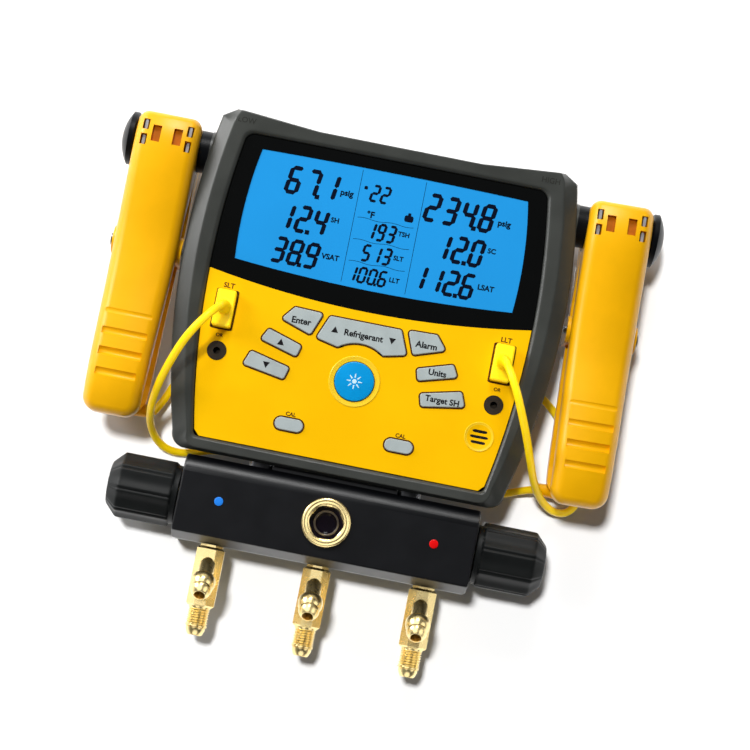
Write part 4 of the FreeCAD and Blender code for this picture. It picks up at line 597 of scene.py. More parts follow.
# Display readings: slanted bars of a seven-bar digit, as thin plates on the glass
display = {
    "slant": math.radians(8.0), "stroke": 0.148, "low": 41.71, "high": 41.74,
    "readings": [("67.1", -28.2, 136.4, 15.0, 9.41, 7.5), ("12.4", -30.1, 117.6, 14.6, 8.74, 7.1),
                 ("38.9", -31.0, 100.5, 13.8, 8.32, 7.1), ("22", -1.2, 140.5, 9.3, 5.32, 4.6),
                 ("193", 5.4, 121.2, 9.5, 5.20, 4.5), ("513", 5.4, 109.7, 9.2, 5.30, 4.5),
                 ("100.6", 5.4, 98.4, 8.7, 5.19, 4.5), ("234.8", 52.6, 136.1, 15.2, 9.36, 7.5),
                 ("12.0", 50.5, 117.6, 14.6, 8.69, 7.1), ("112.6", 49.1, 100.5, 13.8, 8.27, 7.1)],
    "bars": {"0": "abcdef", "1": "bc", "2": "abged", "3": "abgcd", "4": "fgbc", "5": "afgcd",
             "6": "afgedc", "7": "abc", "8": "abcdefg", "9": "abcdfg"},
    "dividers": [-16.5, 16.3], "dividerFoot": 97.4, "dividerTop": 156.0,
    "waves": [131.5, 120.2, 108.9], "waveStart": -14.8, "waveEnd": 14.1, "waveSteps": 60, "waveRise": 0.35,
    "waveHalf": 0.11, "dividerHalf": 0.12, "barGap": 0.08, "barPoint": 0.72, "pointSize": 1.05, "pointShift": 0.1,
}
finishes["readings"] = finish("readings", (6, 14, 34), rough=0.4, drift=0.05, grainDepth=0.0, specular=0.1)


# One bar: a six-cornered plate between two points, pointed at both ends
def barOutline(p, q, half):
    p, q = np.array(p, float), np.array(q, float)
    way = (q - p) / np.linalg.norm(q - p)
    side = np.array([-way[1], way[0]])
    p = p + way * half * display["barGap"]
    q = q - way * half * display["barGap"]
    slope = way * half * display["barPoint"]
    return [p, p + slope - side * half, q - slope - side * half, q,
            q - slope + side * half, p + slope + side * half]


# A rectangle about x between two heights
def upright(x, half, foot, top):
    return [(x - half, foot), (x + half, foot), (x + half, top), (x - half, top)]


# A thin plate on the glass
def onGlass(outline):
    return slab(outline, display["low"], display["high"])


# The bars of one digit, each leant over by the slant: X grows with the height above the foot
def digitBars(digit, right, foot, height, width):
    half = display["stroke"] * height / 2
    left, end = right - width + half, right - half
    low, middle, high = half, height / 2, height - half
    lines = {"a": ((left, high), (end, high)), "b": ((end, middle), (end, high)), "c": ((end, low), (end, middle)),
             "d": ((left, low), (end, low)), "e": ((left, low), (left, middle)), "f": ((left, middle), (left, high)),
             "g": ((left, middle), (end, middle))}
    plates = []
    for name in display["bars"][digit]:
        outline = np.array(barOutline(*lines[name], half))
        outline[:, 0] += math.tan(display["slant"]) * outline[:, 1]
        outline[:, 1] += foot
        plates.append(onGlass(outline))
    return plates


# Each reading is set from its right end, a pitch for every digit, with a square point before the last one
def makeReadings():
    plates = []
    for text, right, foot, height, pitch, width in display["readings"]:
        digits = text.replace(".", "")
        for i, digit in enumerate(digits):
            plates += digitBars(digit, right - pitch * (len(digits) - 1 - i), foot, height, width)
        if "." in text:
            size = display["stroke"] * height * display["pointSize"]
            x = right - width - (pitch - width) / 2 - display["pointShift"] * size
            plates.append(onGlass(upright(x, size / 2, foot, foot + size)))
    addPiece("displayReadings", plates, "display_black", "readings", smooth=False)


# Thin dividers: two upright lines, and three that rise and fall twice as a sine of the distance along them
def makeDividers():
    plates = [onGlass(upright(x, display["dividerHalf"], display["dividerFoot"], display["dividerTop"]))
              for x in display["dividers"]]
    x = np.linspace(display["waveStart"], display["waveEnd"], display["waveSteps"])
    half = display["waveHalf"]
    for height in display["waves"]:
        y = height + display["waveRise"] * np.sin((x - x[0]) / (x[-1] - x[0]) * 4 * math.pi)
        outline = np.vstack([np.column_stack([x, y - half]), np.column_stack([x, y + half])[::-1]])
        plates.append(onGlass(outline))
    addPiece("displayDividers", plates, "display_black", "readings", smooth=False)


makeReadings()
makeDividers()
print("display drawn")

# Words: what they say, their place as x and height, and their size; a word on a key has its shift from the middle
words = {
    "keys": [("key_enter", "Enter", 4.5, 0.0), ("key_select", "Refrigerant", 4.4, 0.8),
             ("key_alarm", "Alarm", 4.4, 0.0), ("key_units", "Units", 4.3, 0.0),
             ("key_target", "Target SH", 4.2, -0.7)],
    "panel": [("SLT", -71.0, 84.4, 3.6), ("LLT", 71.0, 84.4, 3.6), ("OR", -71.0, 58.9, 2.5), ("OR", 71.0, 58.9, 2.5),
              ("CAL", -27.9, 26.6, 2.8), ("CAL", 27.9, 26.6, 2.8)],
    "display": [("psig", -25.6, 142.6, 4.3), ("SH", -27.6, 127.6, 3.6), ("VSAT", -28.6, 108.6, 3.8),
                ("\u00b0F", -10.4, 134.0, 4.6), ("TSH", 7.1, 127.2, 3.3), ("SLT", 7.1, 114.6, 3.3),
                ("LLT", 7.1, 103.2, 3.3), ("psig", 55.6, 142.8, 4.3), ("SC", 53.2, 127.6, 3.6),
                ("LSAT", 51.6, 108.4, 3.8)],
    "case": [("LOW", -79.2, 169.1, 4.0), ("HIGH", 78.0, 168.9, 4.0)], "caseSink": 0.11,
    "bold": 0.06, "displayBold": 0.07, "caseBold": 0.03, "thick": 0.02, "curveSteps": 3, "centre": 0.34, "lift": 0.03,
}
# Near black for the print on the keys, and also the painted shade of the speaker's slots
finishes["printAndSlotShade"] = finish("printAndSlotShade", (22, 22, 24), rough=0.6, drift=0.05, grainDepth=0.0, specular=0.2)
# The lips' yellow is paler than the panel's, a painted highlight on the raised lips round the button and the speaker
finishes["lipHighlightYellow"] = finish("lipHighlightYellow", (255, 208, 40), rough=0.3, drift=0.03, grainDepth=0.0, specular=0.6)
finishes["caseMark"] = finish("caseMark", (44, 45, 41), rough=0.5, drift=0.05, grainDepth=0.0, specular=0.3)
# Brown for the panel's words, and also the painted shade of the gaps round the keys and the plugs
finishes["printAndGapShade"] = finish("printAndGapShade", (84, 44, 10), rough=0.6, drift=0.05, grainDepth=0.0, specular=0.2)
finishes["markWhite"] = finish("markWhite", (206, 238, 250), rough=0.5, drift=0.02, grainDepth=0.0, specular=0.3)
finishes["dotBlue"] = finish("dotBlue", (38, 132, 236), rough=0.3, drift=0.08, driftScale=300, grainDepth=0.0)
finishes["dotRed"] = finish("dotRed", (232, 10, 12), rough=0.3, drift=0.08, driftScale=300, grainDepth=0.0)


# Letters as thin plates: a text's own mesh, made bold by half a share of its size, then set down at its place
def addWords(name, letters, size, x, height, level, slotName, look, body="gauge", align="CENTER",
             bold=words["bold"]):
    text = bpy.data.curves.new(name, "FONT")
    text.body = letters
    text.size = size
    text.align_x = align
    text.offset = bold * size / 2
    text.extrude = words["thick"]
    text.resolution_u = words["curveSteps"]
    spots, faces = curveMesh(text)
    spots = spots + (x, height - size * words["centre"], level + words["lift"])
    addPiece(name, [(placed(spots), faces)], slotName, look, body, smooth=False, turnOut=False)


# The middle of a node's box, as x and height
def nodeMiddle(name):
    low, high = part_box(name)
    middle = (low + high) / 2 * 1000
    return middle.x, middle.y - levels["housingBottom"]


# Words on the keys, beside the sockets, on the display and on the frame
def makeWords():
    for name, letters, size, shift in words["keys"]:
        x, height = nodeMiddle(name)
        addWords(name + "_word", letters, size, x, height + shift, levels["keyFront"], "display_black", "printAndSlotShade",
                 name + "_body")
    for i, (letters, x, height, size) in enumerate(words["panel"]):
        addWords("panelWord_" + str(i), letters, size, x, height, levels["panelFront"], "panel_yellow", "printAndGapShade")
    for i, (letters, x, height, size) in enumerate(words["display"]):
        addWords("displayWord_" + str(i), letters, size, x, height, levels["glassFront"], "display_black",
                 "readings", align="LEFT", bold=words["displayBold"])
    for i, (letters, x, height, size) in enumerate(words["case"]):
        addWords("caseWord_" + str(i), letters, size, x, height, levels["bezelFront"] - words["caseSink"],
                 "case_dark", "caseMark", bold=words["caseBold"])


displayMarks = {"dot": (-13.3, 147.2, 0.9), "tank": (11.0, 135.6), "tankHalf": (2.3, 1.7), "neckRise": 0.6,
                "neckHalf": (0.8, 0.7)}


# A round dot, and a small tank with its neck
def makeDisplayMarks():
    x, height, radius = displayMarks["dot"]
    tankX, tankHeight = displayMarks["tank"]
    neckHeight = tankHeight + displayMarks["tankHalf"][1] + displayMarks["neckRise"]
    plates = [(x, height, (radius, radius)), (tankX, tankHeight, displayMarks["tankHalf"]),
              (tankX, neckHeight, displayMarks["neckHalf"])]
    addPiece("displayMarks", [slab(*roundPlate(*plate, display["low"], display["high"])) for plate in plates],
             "display_black", "readings", smooth=False)


triangles = {"half": 1.75, "foot": 0.8, "low": 0.01, "high": 0.05, "keys": [("key_up", 1), ("key_down", -1)],
             "selectOffset": 14.6, "selectHeight": 72.6}


# A triangle that points up or down, with its corners always in the same turning direction
def triangle(x, height, up):
    half = triangles["half"]
    foot = height - up * half * triangles["foot"]
    return [(x - half, foot), (x + half, foot), (x, height + up * half)][::up]


# Triangles on the up and down keys, and one at each end of the wide key
def makeKeyMarks():
    low, high = levels["keyFront"] + triangles["low"], levels["keyFront"] + triangles["high"]
    places = [(name + "_mark", name + "_body", *nodeMiddle(name), up) for name, up in triangles["keys"]]
    places += [("key_select_mark_" + way, "key_select_body", -up * triangles["selectOffset"],
                triangles["selectHeight"], up) for way, up in (("up", 1), ("down", -1))]
    for name, body, x, height, up in places:
        addPiece(name, [slab(triangle(x, height, up), low, high)], "display_black", "printAndSlotShade", body,
                 smooth=False)


# Painted shade of the gaps round the keys and the plugs: the keys, the inner and outer distance and the thickness,
# then the plugs' middles, half sizes and distances
outlines = {
    "keys": ["key_enter", "key_up", "key_down", "key_alarm", "key_units", "key_target", "key_select",
             "cal_button_left", "cal_button_right"],
    "inner": 0.55, "outer": 1.15, "thick": 0.04,
    "plugs": {"left": (-71.0, 72.1), "right": (71.0, 72.1)}, "plugHalf": (4.8, 9.4),
    "plugInner": 0.25, "plugOuter": 0.95,
}


# The outline of a key's top: its highest corners, in order of their direction from the middle
def keyOutline(name, flatness=0.02, count=240):
    spots = meshPoints(nodes[name].data) * 1000
    top = np.unique(spots[spots[:, 2] > spots[:, 2].max() - flatness][:, :2].round(3), axis=0)
    middle = (top.max(axis=0) + top.min(axis=0)) / 2
    away = top - middle
    line = top[np.argsort(np.arctan2(away[:, 1], away[:, 0]))] - (0, levels["housingBottom"])
    line = np.vstack([line, line[:1]])
    gone = lineTravel(line)
    return walked(line, gone, np.linspace(0, gone[-1], count, endpoint=False))


# An outline moved outwards along its own normal, which is its direction turned a quarter
def movedOut(outline, distance):
    way = np.roll(outline, -2, axis=0) - np.roll(outline, 2, axis=0)
    way /= np.linalg.norm(way, axis=1)[:, None]
    return outline + distance * np.column_stack([way[:, 1], -way[:, 0]])


# Flat dark line round an outline, painted shade of the gap there: four rows, at the inner and the outer distance and
# at the foot and the top of the line
def addGapShade(name, line, inner, outer):
    low, high = levels["panelFront"], levels["panelFront"] + outlines["thick"]
    rows = [np.column_stack([movedOut(line, distance), np.full(len(line), level)])
            for distance, level in ((inner, low), (inner, high), (outer, high), (outer, low))]
    addPiece(name, [(placed(np.vstack(rows)), gridFaces(len(rows), len(line), closeRows=True))],
             "panel_yellow", "printAndGapShade", smooth=False)


# Painted shade of the gap round each plug's body: a dark line whose outline runs evenly round a rectangle
def makePlugGapShades():
    corners = np.array([(-1, -1), (1, -1), (1, 1), (-1, 1), (-1, -1)]) * outlines["plugHalf"]
    around = walked(corners, np.arange(len(corners)), np.linspace(0, 4, 160, endpoint=False))
    for side, middle in outlines["plugs"].items():
        addGapShade("plugGapShade_" + side, around + middle, outlines["plugInner"], outlines["plugOuter"])


# Painted shade of the speaker's slots: dark bars on the grille's dish, given by the middle, each bar's rise and
# reach, half width, depth and lift, and the dish
speaker = {
    "middle": (66.5, 33.8), "bars": [(2.8, 3.8), (0.0, 4.7), (-2.8, 3.7)], "barHalf": 0.72, "barDepth": 0.5,
    "barLift": 0.05, "dishRadius": 6.2, "dishDepth": 0.8, "stepsAlong": 33, "stepsAcross": 7,
}


# Each dark bar, painted shade of a slot in the grille, lies on the dish, whose level rises with the square of the
# radius; it thins to nothing at its ends
def makeSpeakerSlotShades():
    x, height = speaker["middle"]
    count = speaker["stepsAcross"]
    along = np.linspace(-1, 1, speaker["stepsAlong"])[None]
    over = np.linspace(-1, 1, count)
    across = np.append(over, over[::-1][1:-1])[:, None]  # over the top, and back below
    under = np.append(np.zeros(count), np.ones(count - 2))[:, None]
    taper = np.sqrt(np.clip(1 - along ** 6, 0, 1))
    bars = []
    for rise, reach in speaker["bars"]:
        px = along * reach + 0 * across
        py = rise + across * speaker["barHalf"] * taper
        dish = levels["panelFront"] - speaker["dishDepth"] * (1 - (px ** 2 + py ** 2) / speaker["dishRadius"] ** 2)
        level = dish + (speaker["barLift"] - under * speaker["barDepth"]) * taper
        spots = placed(np.stack([x + px, height + py, level], -1))
        bars.append((spots, gridFaces(*px.shape, closeRows=True, closeColumns=False)))
    addPiece("speakerSlotShades", bars, "black_plastic", "printAndSlotShade", sharp=50)


# Lips: middle, inner and outer radius, and rise
lips = {
    "halo": ((0.0, 48.9), 10.4, 13.0, 0.36), "speaker": ((66.5, 33.8), 6.15, 7.5, 0.3),
    "crest": 0.84, "steepen": 1.3, "sink": 0.15,
}


# Raised lip round a dish, coloured paler than the panel as a painted highlight: a long slope that steepens outwards
# to its crest, then a short quarter circle down
def makeLip(name):
    (x, high), inner, outer, rise = lips[name]
    share = np.linspace(0, 1, 18)
    crest = lips["crest"]
    height = rise * np.where(share < crest, (share / crest) ** lips["steepen"],
                             np.cos(np.clip((share - crest) / (1 - crest), 0, 1) * math.pi / 2))
    profile = np.column_stack([height, inner + (outer - inner) * share])
    profile = np.vstack([[(-lips["sink"], inner)], profile, [(-lips["sink"], outer)]])
    ring = turnedRing(profile, (x, high + levels["housingBottom"], levels["panelFront"]), 96)
    addPiece(name + "Lip", [ring], "panel_yellow", "lipHighlightYellow", sharp=50)


powerCap = {"radius": 10.0, "low": 39.2, "edge": 42.5, "edgeRise": 0.3, "top": 43.35, "round": 0.7}


# Domed cap: a flat dome whose height falls with the square of the radius, and a round edge
def makePowerCap():
    x, height = nodeMiddle("power_button")
    share = np.linspace(0, 1, 22)
    inner = powerCap["radius"] - powerCap["round"]
    rim = powerCap["edge"] + powerCap["edgeRise"]
    dome = np.column_stack([powerCap["top"] - (powerCap["top"] - rim) * share ** 2, inner * share])
    turn = np.linspace(0, math.pi / 2, 8)[1:]
    edge = np.column_stack([rim - powerCap["round"] * (1 - np.cos(turn)), inner + powerCap["round"] * np.sin(turn)])
    profile = np.vstack([dome, edge, [(powerCap["low"], powerCap["radius"])]])[::-1]
    cap = addPiece("powerCap", [turned(profile, (x, height + levels["housingBottom"], 0), (0, 0, 1), 96)],
                   "button_blue", body="power_button_body", sharp=60)
    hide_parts("power_button")


sunMark = {"core": 1.15, "inner": 1.9, "outer": 3.9, "rays": 8, "half": 0.42, "taper": 0.45, "sink": 0.12,
           "rise": 0.06}


# Sun mark: a round core and evenly turned rays, which narrow outwards
def makeSunMark():
    x, height = nodeMiddle("power_button")
    low, high = powerCap["top"] - sunMark["sink"], powerCap["top"] + sunMark["rise"]
    turn = np.linspace(0, 2 * math.pi, 32, endpoint=False)
    core = (x, height) + sunMark["core"] * np.column_stack([np.cos(turn), np.sin(turn)])
    parts = [slab(core, low, high)]
    for angle in np.arange(sunMark["rays"]) * 2 * math.pi / sunMark["rays"]:
        way = np.array([math.cos(angle), math.sin(angle)])
        side = np.array([-way[1], way[0]]) * sunMark["half"]
        near, far = (x, height) + way * sunMark["inner"], (x, height) + way * sunMark["outer"]
        tip = side * sunMark["taper"]
        parts.append(slab([near - side, far - tip, far + tip, near + side], low, high))
    addPiece("sunMark", parts, "button_blue", "markWhite", "power_button_body", smooth=False)


dots = {"radius": 2.25, "height": 0.4, "fall": 0.6, "sink": 0.2,
        "places": {"left": (-54.4, "dotBlue"), "right": (54.4, "dotRed")}}


# Dots: low domes whose radius is the sine and whose height a low power of the cosine of the same angle
def makeDots():
    turn = np.linspace(0, math.pi / 2, 12)
    rise = dots["height"] * np.cos(turn) ** dots["fall"]
    profile = np.column_stack([rise, dots["radius"] * np.sin(turn)])
    profile = np.vstack([profile, [(-dots["sink"], dots["radius"])]])[::-1]
    for side, (x, look) in dots["places"].items():
        place = (x, levels["blockMiddle"], levels["blockFront"])
        addPiece("dot_" + side, [turned(profile, place, (0, 0, 1), 40)], "button_blue", look)


makeKeyMarks()
makeWords()
makeDisplayMarks()
# Painted shade of the gap round each key's top
for name in outlines["keys"]:
    addGapShade(name + "_gapShade", keyOutline(name), outlines["inner"], outlines["outer"])
for name in ("halo", "speaker"):
    makeLip(name)
makePlugGapShades()
makeSpeakerSlotShades()
makePowerCap()
makeSunMark()
makeDots()
print("keys and marks made")

# Valve block: a round upper edge, a slope along its lower edge, and a hole for the sight glass
block = {
    "half": 75.0, "top": -44.2, "foot": -86.6, "front": 42.0, "back": 2.0, "topRound": 9.0, "backRound": 6.5,
    "slopeTop": -82.5, "slopeFoot": 30.0, "slopeRound": 1.0, "slopeTurn": 0.1, "endEdge": 0.8,
    "hole": 11.2, "holeFoot": 20.0, "holeTop": 50.0, "sharp": 32, "flatArea": 0.0004,  # degrees and square metres
}


# Points of a rounded corner between two directions, from the corner's own circle
def cornerArc(middle, radius, first, last, count=10):
    angle = np.radians(np.linspace(first, last, count))
    return np.column_stack([middle[0] + radius * np.cos(angle), middle[1] + radius * np.sin(angle)])


# The block's side view is carried along X; at each end it draws in by the end edge, and the sight glass's hole is
# then cut through its front
def makeBlockSkin():
    b = block
    r = b["backRound"]
    slope = math.degrees(math.atan2(b["front"] - b["slopeFoot"], b["slopeTop"] - b["slopeTurn"] - b["foot"]))
    side = np.vstack([
        cornerArc((b["top"] - b["topRound"], b["front"] - b["topRound"]), b["topRound"], 0, 90, 24),
        cornerArc((b["slopeTop"], b["front"] - b["slopeRound"]), b["slopeRound"], 90, 90 + slope, 6),
        cornerArc((b["foot"] + b["slopeRound"], b["slopeFoot"]), b["slopeRound"], 90 + slope, 180, 6),
        cornerArc((b["foot"] + r, b["back"] + r), r, 180, 270),
        cornerArc((b["top"] - r, b["back"] + r), r, 270, 360),
    ])
    middle = (side.max(axis=0) + side.min(axis=0)) / 2
    half = (side.max(axis=0) - side.min(axis=0)) / 2
    edge = b["endEdge"]
    stations = [(-b["half"], edge), (-b["half"] + edge * 0.3, edge * 0.4), (-b["half"] + edge, 0.0),
                (b["half"] - edge, 0.0), (b["half"] - edge * 0.3, edge * 0.4), (b["half"], edge)]
    rows = []
    for x, drawn in stations:
        spots = middle + (side - middle) * (1 - drawn / half)
        rows.append(np.column_stack([np.full(len(side), x), spots]))
    shell = (np.vstack(rows) / 1000, tubeFaces(len(rows), len(side)))
    skin = addPiece("blockSkin", [shell], "block_black", sharp=b["sharp"])
    hole = [(b["holeFoot"], 0), (b["holeFoot"], b["hole"]), (b["holeTop"], b["hole"]), (b["holeTop"], 0)]
    drillShape = turned(hole, (0, levels["blockMiddle"], 0), (0, 0, 1), 96)
    drill = newObject("blockDrill", shellMesh("blockDrill", [drillShape], finishes["block_black"]))
    cut = skin.modifiers.new("hole", "BOOLEAN")
    cut.object = drill
    cut.operation = "DIFFERENCE"
    cut.solver = "EXACT"
    shape = bpy.data.meshes.new_from_object(skin.evaluated_get(bpy.context.evaluated_depsgraph_get()))
    skin.modifiers.clear()
    skin.data = shape
    shape.set_sharp_from_angle(angle=math.radians(b["sharp"]))
    areas = np.zeros(len(shape.polygons))
    shape.polygons.foreach_get("area", areas)
    shape.polygons.foreach_set("use_smooth", areas < b["flatArea"])  # large faces stay flat
    bpy.data.objects.remove(drill)
    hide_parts("manifold_block")


makeBlockSkin()
print("block made")

# Sight glass ring: round outside, six-sided socket inside; its inside is given as levels below the front and radii,
# the bowl and the iris as levels above the glass and radii
sightRing = {
    "outer": 12.4, "outerInset": 0.3, "low": 41.9, "front": 43.8, "round": 1.1, "socketFoot": 36.4,
    "inside": [(0.0, 11.0), (0.10, 10.7), (0.14, 10.4), (0.09, 10.1), (0.0, 9.8), (0.08, 9.3), (0.4, 8.85),
               (1.0, 8.5), (1.8, 8.25), (3.0, 8.1)],
    "back": [(36.4, 8.1), (36.4, 9.4), (41.9, 10.6)],
    "flat": 7.9, "corner": 8.5, "roundFrom": 9.4, "roundOver": 0.9,
    "glassRadius": 8.6, "glassLow": 34.4, "glassTop": 36.6,
    "bowl": [(0.0, 6.8), (0.9, 6.3), (0.9, 5.0), (-0.4, 4.4), (-0.6, 2.0), (-0.65, 0.0)],
    "iris": [(0.8, 5.3), (1.15, 5.5), (1.25, 5.85), (1.15, 6.2), (0.8, 6.4)],
}
finishes["irisRing"] = finish("irisRing", (104, 98, 92), rough=0.3, drift=0.08, driftScale=300, grainDepth=0.0,
                              metallic=0.6)


# Radius in the socket: it eases from the circle to the distance of a hexagon's nearest flat
def sixSided(along, angle, radius):
    side = (angle + math.pi / 6) % (math.pi / 3) - math.pi / 6
    hexagon = np.minimum(sightRing["flat"] / np.cos(side), sightRing["corner"])
    share = np.clip((sightRing["roundFrom"] - radius) / sightRing["roundOver"], 0, 1)
    share = share * (along > sightRing["socketFoot"] - 0.1)
    return radius * (1 - share) + hexagon * share


# Profiles turned about the sight glass's middle: the ring, the glass with its bowl, and the thin iris ring
def makeSightRing():
    ring = sightRing
    place = (0, levels["blockMiddle"], 0)
    turn = np.linspace(0, math.pi / 2, 8)
    edge = np.column_stack([ring["front"] - ring["round"] + ring["round"] * np.sin(turn),
                            ring["outer"] - ring["round"] + ring["round"] * np.cos(turn)])
    inside = [(ring["front"] - drop, radius) for drop, radius in ring["inside"]]
    profile = np.vstack([[(ring["low"], ring["outer"] - ring["outerInset"]), (ring["low"], ring["outer"])],
                         edge, inside, ring["back"]])
    skin = addPiece("sightRingSkin", [turnedRing(profile, place, 144, sixSided)], "brass", sharp=40)
    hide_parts("sight_ring")
    top = ring["glassTop"]
    bowl = [(ring["glassLow"], ring["glassRadius"]), (top, ring["glassRadius"])]
    bowl += [(top + rise, radius) for rise, radius in ring["bowl"]]
    # The glass disc is dark, painted shade of the chamber behind it
    glass = addPiece("sightGlassDisc", [turned(bowl, place, (0, 0, 1), 96)], "clear_glass", sharp=30)
    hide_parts("sight_glass")
    iris = [(top + rise, radius) for rise, radius in ring["iris"]]
    addPiece("sightIris", [turnedRing(iris, place, 96)], "steel", "irisRing", sharp=60)


makeSightRing()
print("sight glass made")

# Service tees: eight-sided bar, thread and flare nose below, angled port in front; profiles are distances along the
# axis and radii
tees = {
    "places": {"left": -54.4, "center": 0.0, "right": 54.4}, "z": 22.0, "barTop": -86.7, "barFoot": -118.0,
    "flat": 7.0, "barEdge": 0.9, "neck": [(0.0, 0.0), (0.0, 5.6), (1.1, 5.6)], "neckLength": 1.4,
    "threadFoot": -128.2, "threadRadius": 5.55, "pitch": 1.27, "threadDepth": 0.72, "threadRows": 96,
    "threadStart": 0.7, "threadEnd": 0.5, "threadFade": 0.8, "overlap": 0.05,
    "nose": [(0.1, 4.7), (0.3, 4.9), (1.6, 4.9), (3.9, 3.9), (4.4, 3.4), (4.4, 2.7), (4.0, 2.4), (-5.6, 2.4),
             (-5.6, 0.0)],
    "portRoot": -91.9, "portTilt": 45.0,
    "portProfile": [(0.0, 0.0), (0.0, 4.1), (16.4, 4.1), (16.7, 4.9), (17.2, 5.6), (18.0, 6.0), (19.0, 6.2),
                    (20.4, 6.2), (21.8, 6.0), (22.9, 5.6), (23.7, 5.1), (24.1, 4.9), (24.4, 4.95), (24.7, 5.25),
                    (25.4, 5.3), (26.4, 5.0), (27.4, 4.5), (28.3, 3.95), (29.0, 3.4), (29.2, 3.1), (29.1, 2.75),
                    (28.5, 2.55), (14.0, 2.55), (13.9, 0.0)],
}


# Radius round the bar: the profile's radius, taken as an octagon's nearest flat, over the cosine from its middle
def eightSided(along, angle, radius):
    side = (angle + math.pi / 8) % (math.pi / 4) - math.pi / 8
    return radius / np.cos(side)


# Radius of the thread: a sharp wave, one to each pitch, whose phase goes once round with the angle and whose depth
# fades at both ends
def threaded(along, angle, radius):
    phase = (along / tees["pitch"] - angle / (2 * math.pi)) % 1
    wave = 1 - np.abs(2 * phase - 1)
    length = tees["barFoot"] - tees["threadFoot"]
    inside = np.minimum(along - tees["threadStart"], length - tees["threadEnd"] - along)
    ends = np.clip(inside / tees["threadFade"], 0, 1)
    return radius - tees["threadDepth"] * wave * ends * (radius > tees["threadRadius"] - 0.01)


# Each tee is three turned pieces: the bar, the thread with its bored nose, and the port that leans forward
def makeTee(side):
    x, z = tees["places"][side], tees["z"]
    length, threadLength = tees["barTop"] - tees["barFoot"], tees["barFoot"] - tees["threadFoot"]
    flat, edge, start = tees["flat"], tees["barEdge"], tees["neckLength"]
    bar = tees["neck"] + [(start, flat - edge), (start + edge, flat), (length - edge, flat), (length, flat - edge),
                          (length, 0.0)]
    rows = np.linspace(0, threadLength, tees["threadRows"])
    thread = np.column_stack([rows, np.full(len(rows), tees["threadRadius"])])
    nose = [(threadLength + along, radius) for along, radius in tees["nose"]]
    tilt = math.radians(tees["portTilt"])
    shapes = [("teeBar_", bar, tees["barTop"], (0, -1, 0), eightSided, 22),
              ("teeThread_", np.vstack([[(0.0, 0.0)], thread, nose]), tees["barFoot"] + tees["overlap"],
               (0, -1, 0), threaded, 40),
              ("teePort_", tees["portProfile"], tees["portRoot"], (0, -math.sin(tilt), math.cos(tilt)), None, 30)]
    for name, profile, top, way, lobes, sharp in shapes:
        piece = addPiece(name + side, [turned(profile, (x, top, z), way, 96, lobes)], "brass", sharp=sharp)
        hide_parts("fitting_" + side)


for side in tees["places"]:
    makeTee(side)
print("tees made")

# Knobs: long soft flats, a shoulder by the block, a chamfered end with a shallow recess; the root is given from the
# block's end of the knob and the end from its far end
knobs = {
    "axis": 22.0, "start": 75.9, "end": 111.5, "outer": 16.7, "inner": 15.9, "flats": 9, "first": 0.5,
    "root": [(0.0, 0.0), (0.0, 13.8), (0.0, 14.6), (0.4, 15.0), (2.4, 15.0), (2.8, 15.2), (3.1, 16.2), (3.7, 16.7)],
    "gripFrom": 4.6, "gripTo": -6.6, "gripRows": 14,
    "far": [(-5.9, 16.6), (-5.2, 16.1), (-0.9, 11.6), (-0.3, 11.0), (0.0, 10.4), (0.0, 6.5), (-0.3, 6.1),
            (-1.2, 5.8), (-1.2, 0.0)],
    "hollow": 0.35, "grooveDepth": 0.55, "grooveWidth": 0.035, "flatFrom": 9.5, "flatOver": 6.0, "shoulder": 2.9,
}


# Radius of the grip: the distance to the nearest flat, hollowed by a cosine, held to the outer radius and grooved
# between the flats by a bell curve; it takes over from the round profile as the radius grows
def gripRadius(along, angle, radius):
    step = 2 * math.pi / knobs["flats"]
    side = (angle + knobs["first"] * step) % step - step / 2
    share = np.clip((radius - knobs["flatFrom"]) / knobs["flatOver"], 0, 1) * (along > knobs["shoulder"])
    flat = (knobs["inner"] - knobs["hollow"] * np.cos(side / step * 2 * math.pi)) / np.cos(side)
    groove = knobs["grooveDepth"] * np.exp(-((np.abs(side) - step / 2) / knobs["grooveWidth"]) ** 2)
    grooved = np.minimum(flat, knobs["outer"]) - groove
    return radius * (1 - share) + np.minimum(radius, grooved * radius / knobs["outer"]) * share


# A knob's profile runs from the block outwards and is turned about the valve's axis
def makeKnob(side, sign):
    length = knobs["end"] - knobs["start"]
    grip = np.linspace(knobs["gripFrom"], length + knobs["gripTo"], knobs["gripRows"])
    profile = knobs["root"] + [(at, knobs["outer"]) for at in grip]
    profile += [(length + back, radius) for back, radius in knobs["far"]]
    start = (sign * knobs["start"], levels["blockMiddle"], knobs["axis"])
    shape = turned(profile, start, (sign, 0, 0), 288, gripRadius)
    knob = addPiece("knobGrip_" + side, [shape], "knob_black", body="valve_" + side, sharp=42)
    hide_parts("knob_" + side)


makeKnob("left", -1)
makeKnob("right", 1)
print("knobs made")

# Clamp windows: bright spring wires in the small ones, and in the large ones a floor coloured dark amber, painted
# shade of the yellow plastic down in the pocket
clampWindows = {
    "x": {"left": -117.0, "right": 117.0}, "lean": {"left": 0.0, "right": 1.6}, "height": 152.0, "rise": 0.6,
    "smallX": 11.3, "smallRise": 4.0, "wire": (0.75, 2.5), "wireLow": 40.0, "wireTop": 45.6,
    "largeX": 5.4, "largeSize": (2.2, 4.3), "floorLow": 42.2, "floorTop": 44.6,
}
# Amber darker than the clamp's yellow: painted shade in the large windows
finishes["windowFloorShade"] = finish("windowFloorShade", (176, 98, 6), rough=0.45, drift=0.12, driftScale=260, grainDepth=0.0)
finishes["springWire"] = finish("springWire", (214, 216, 220), rough=0.3, drift=0.08, driftScale=300,
                                grainDepth=0.0, metallic=0.6)


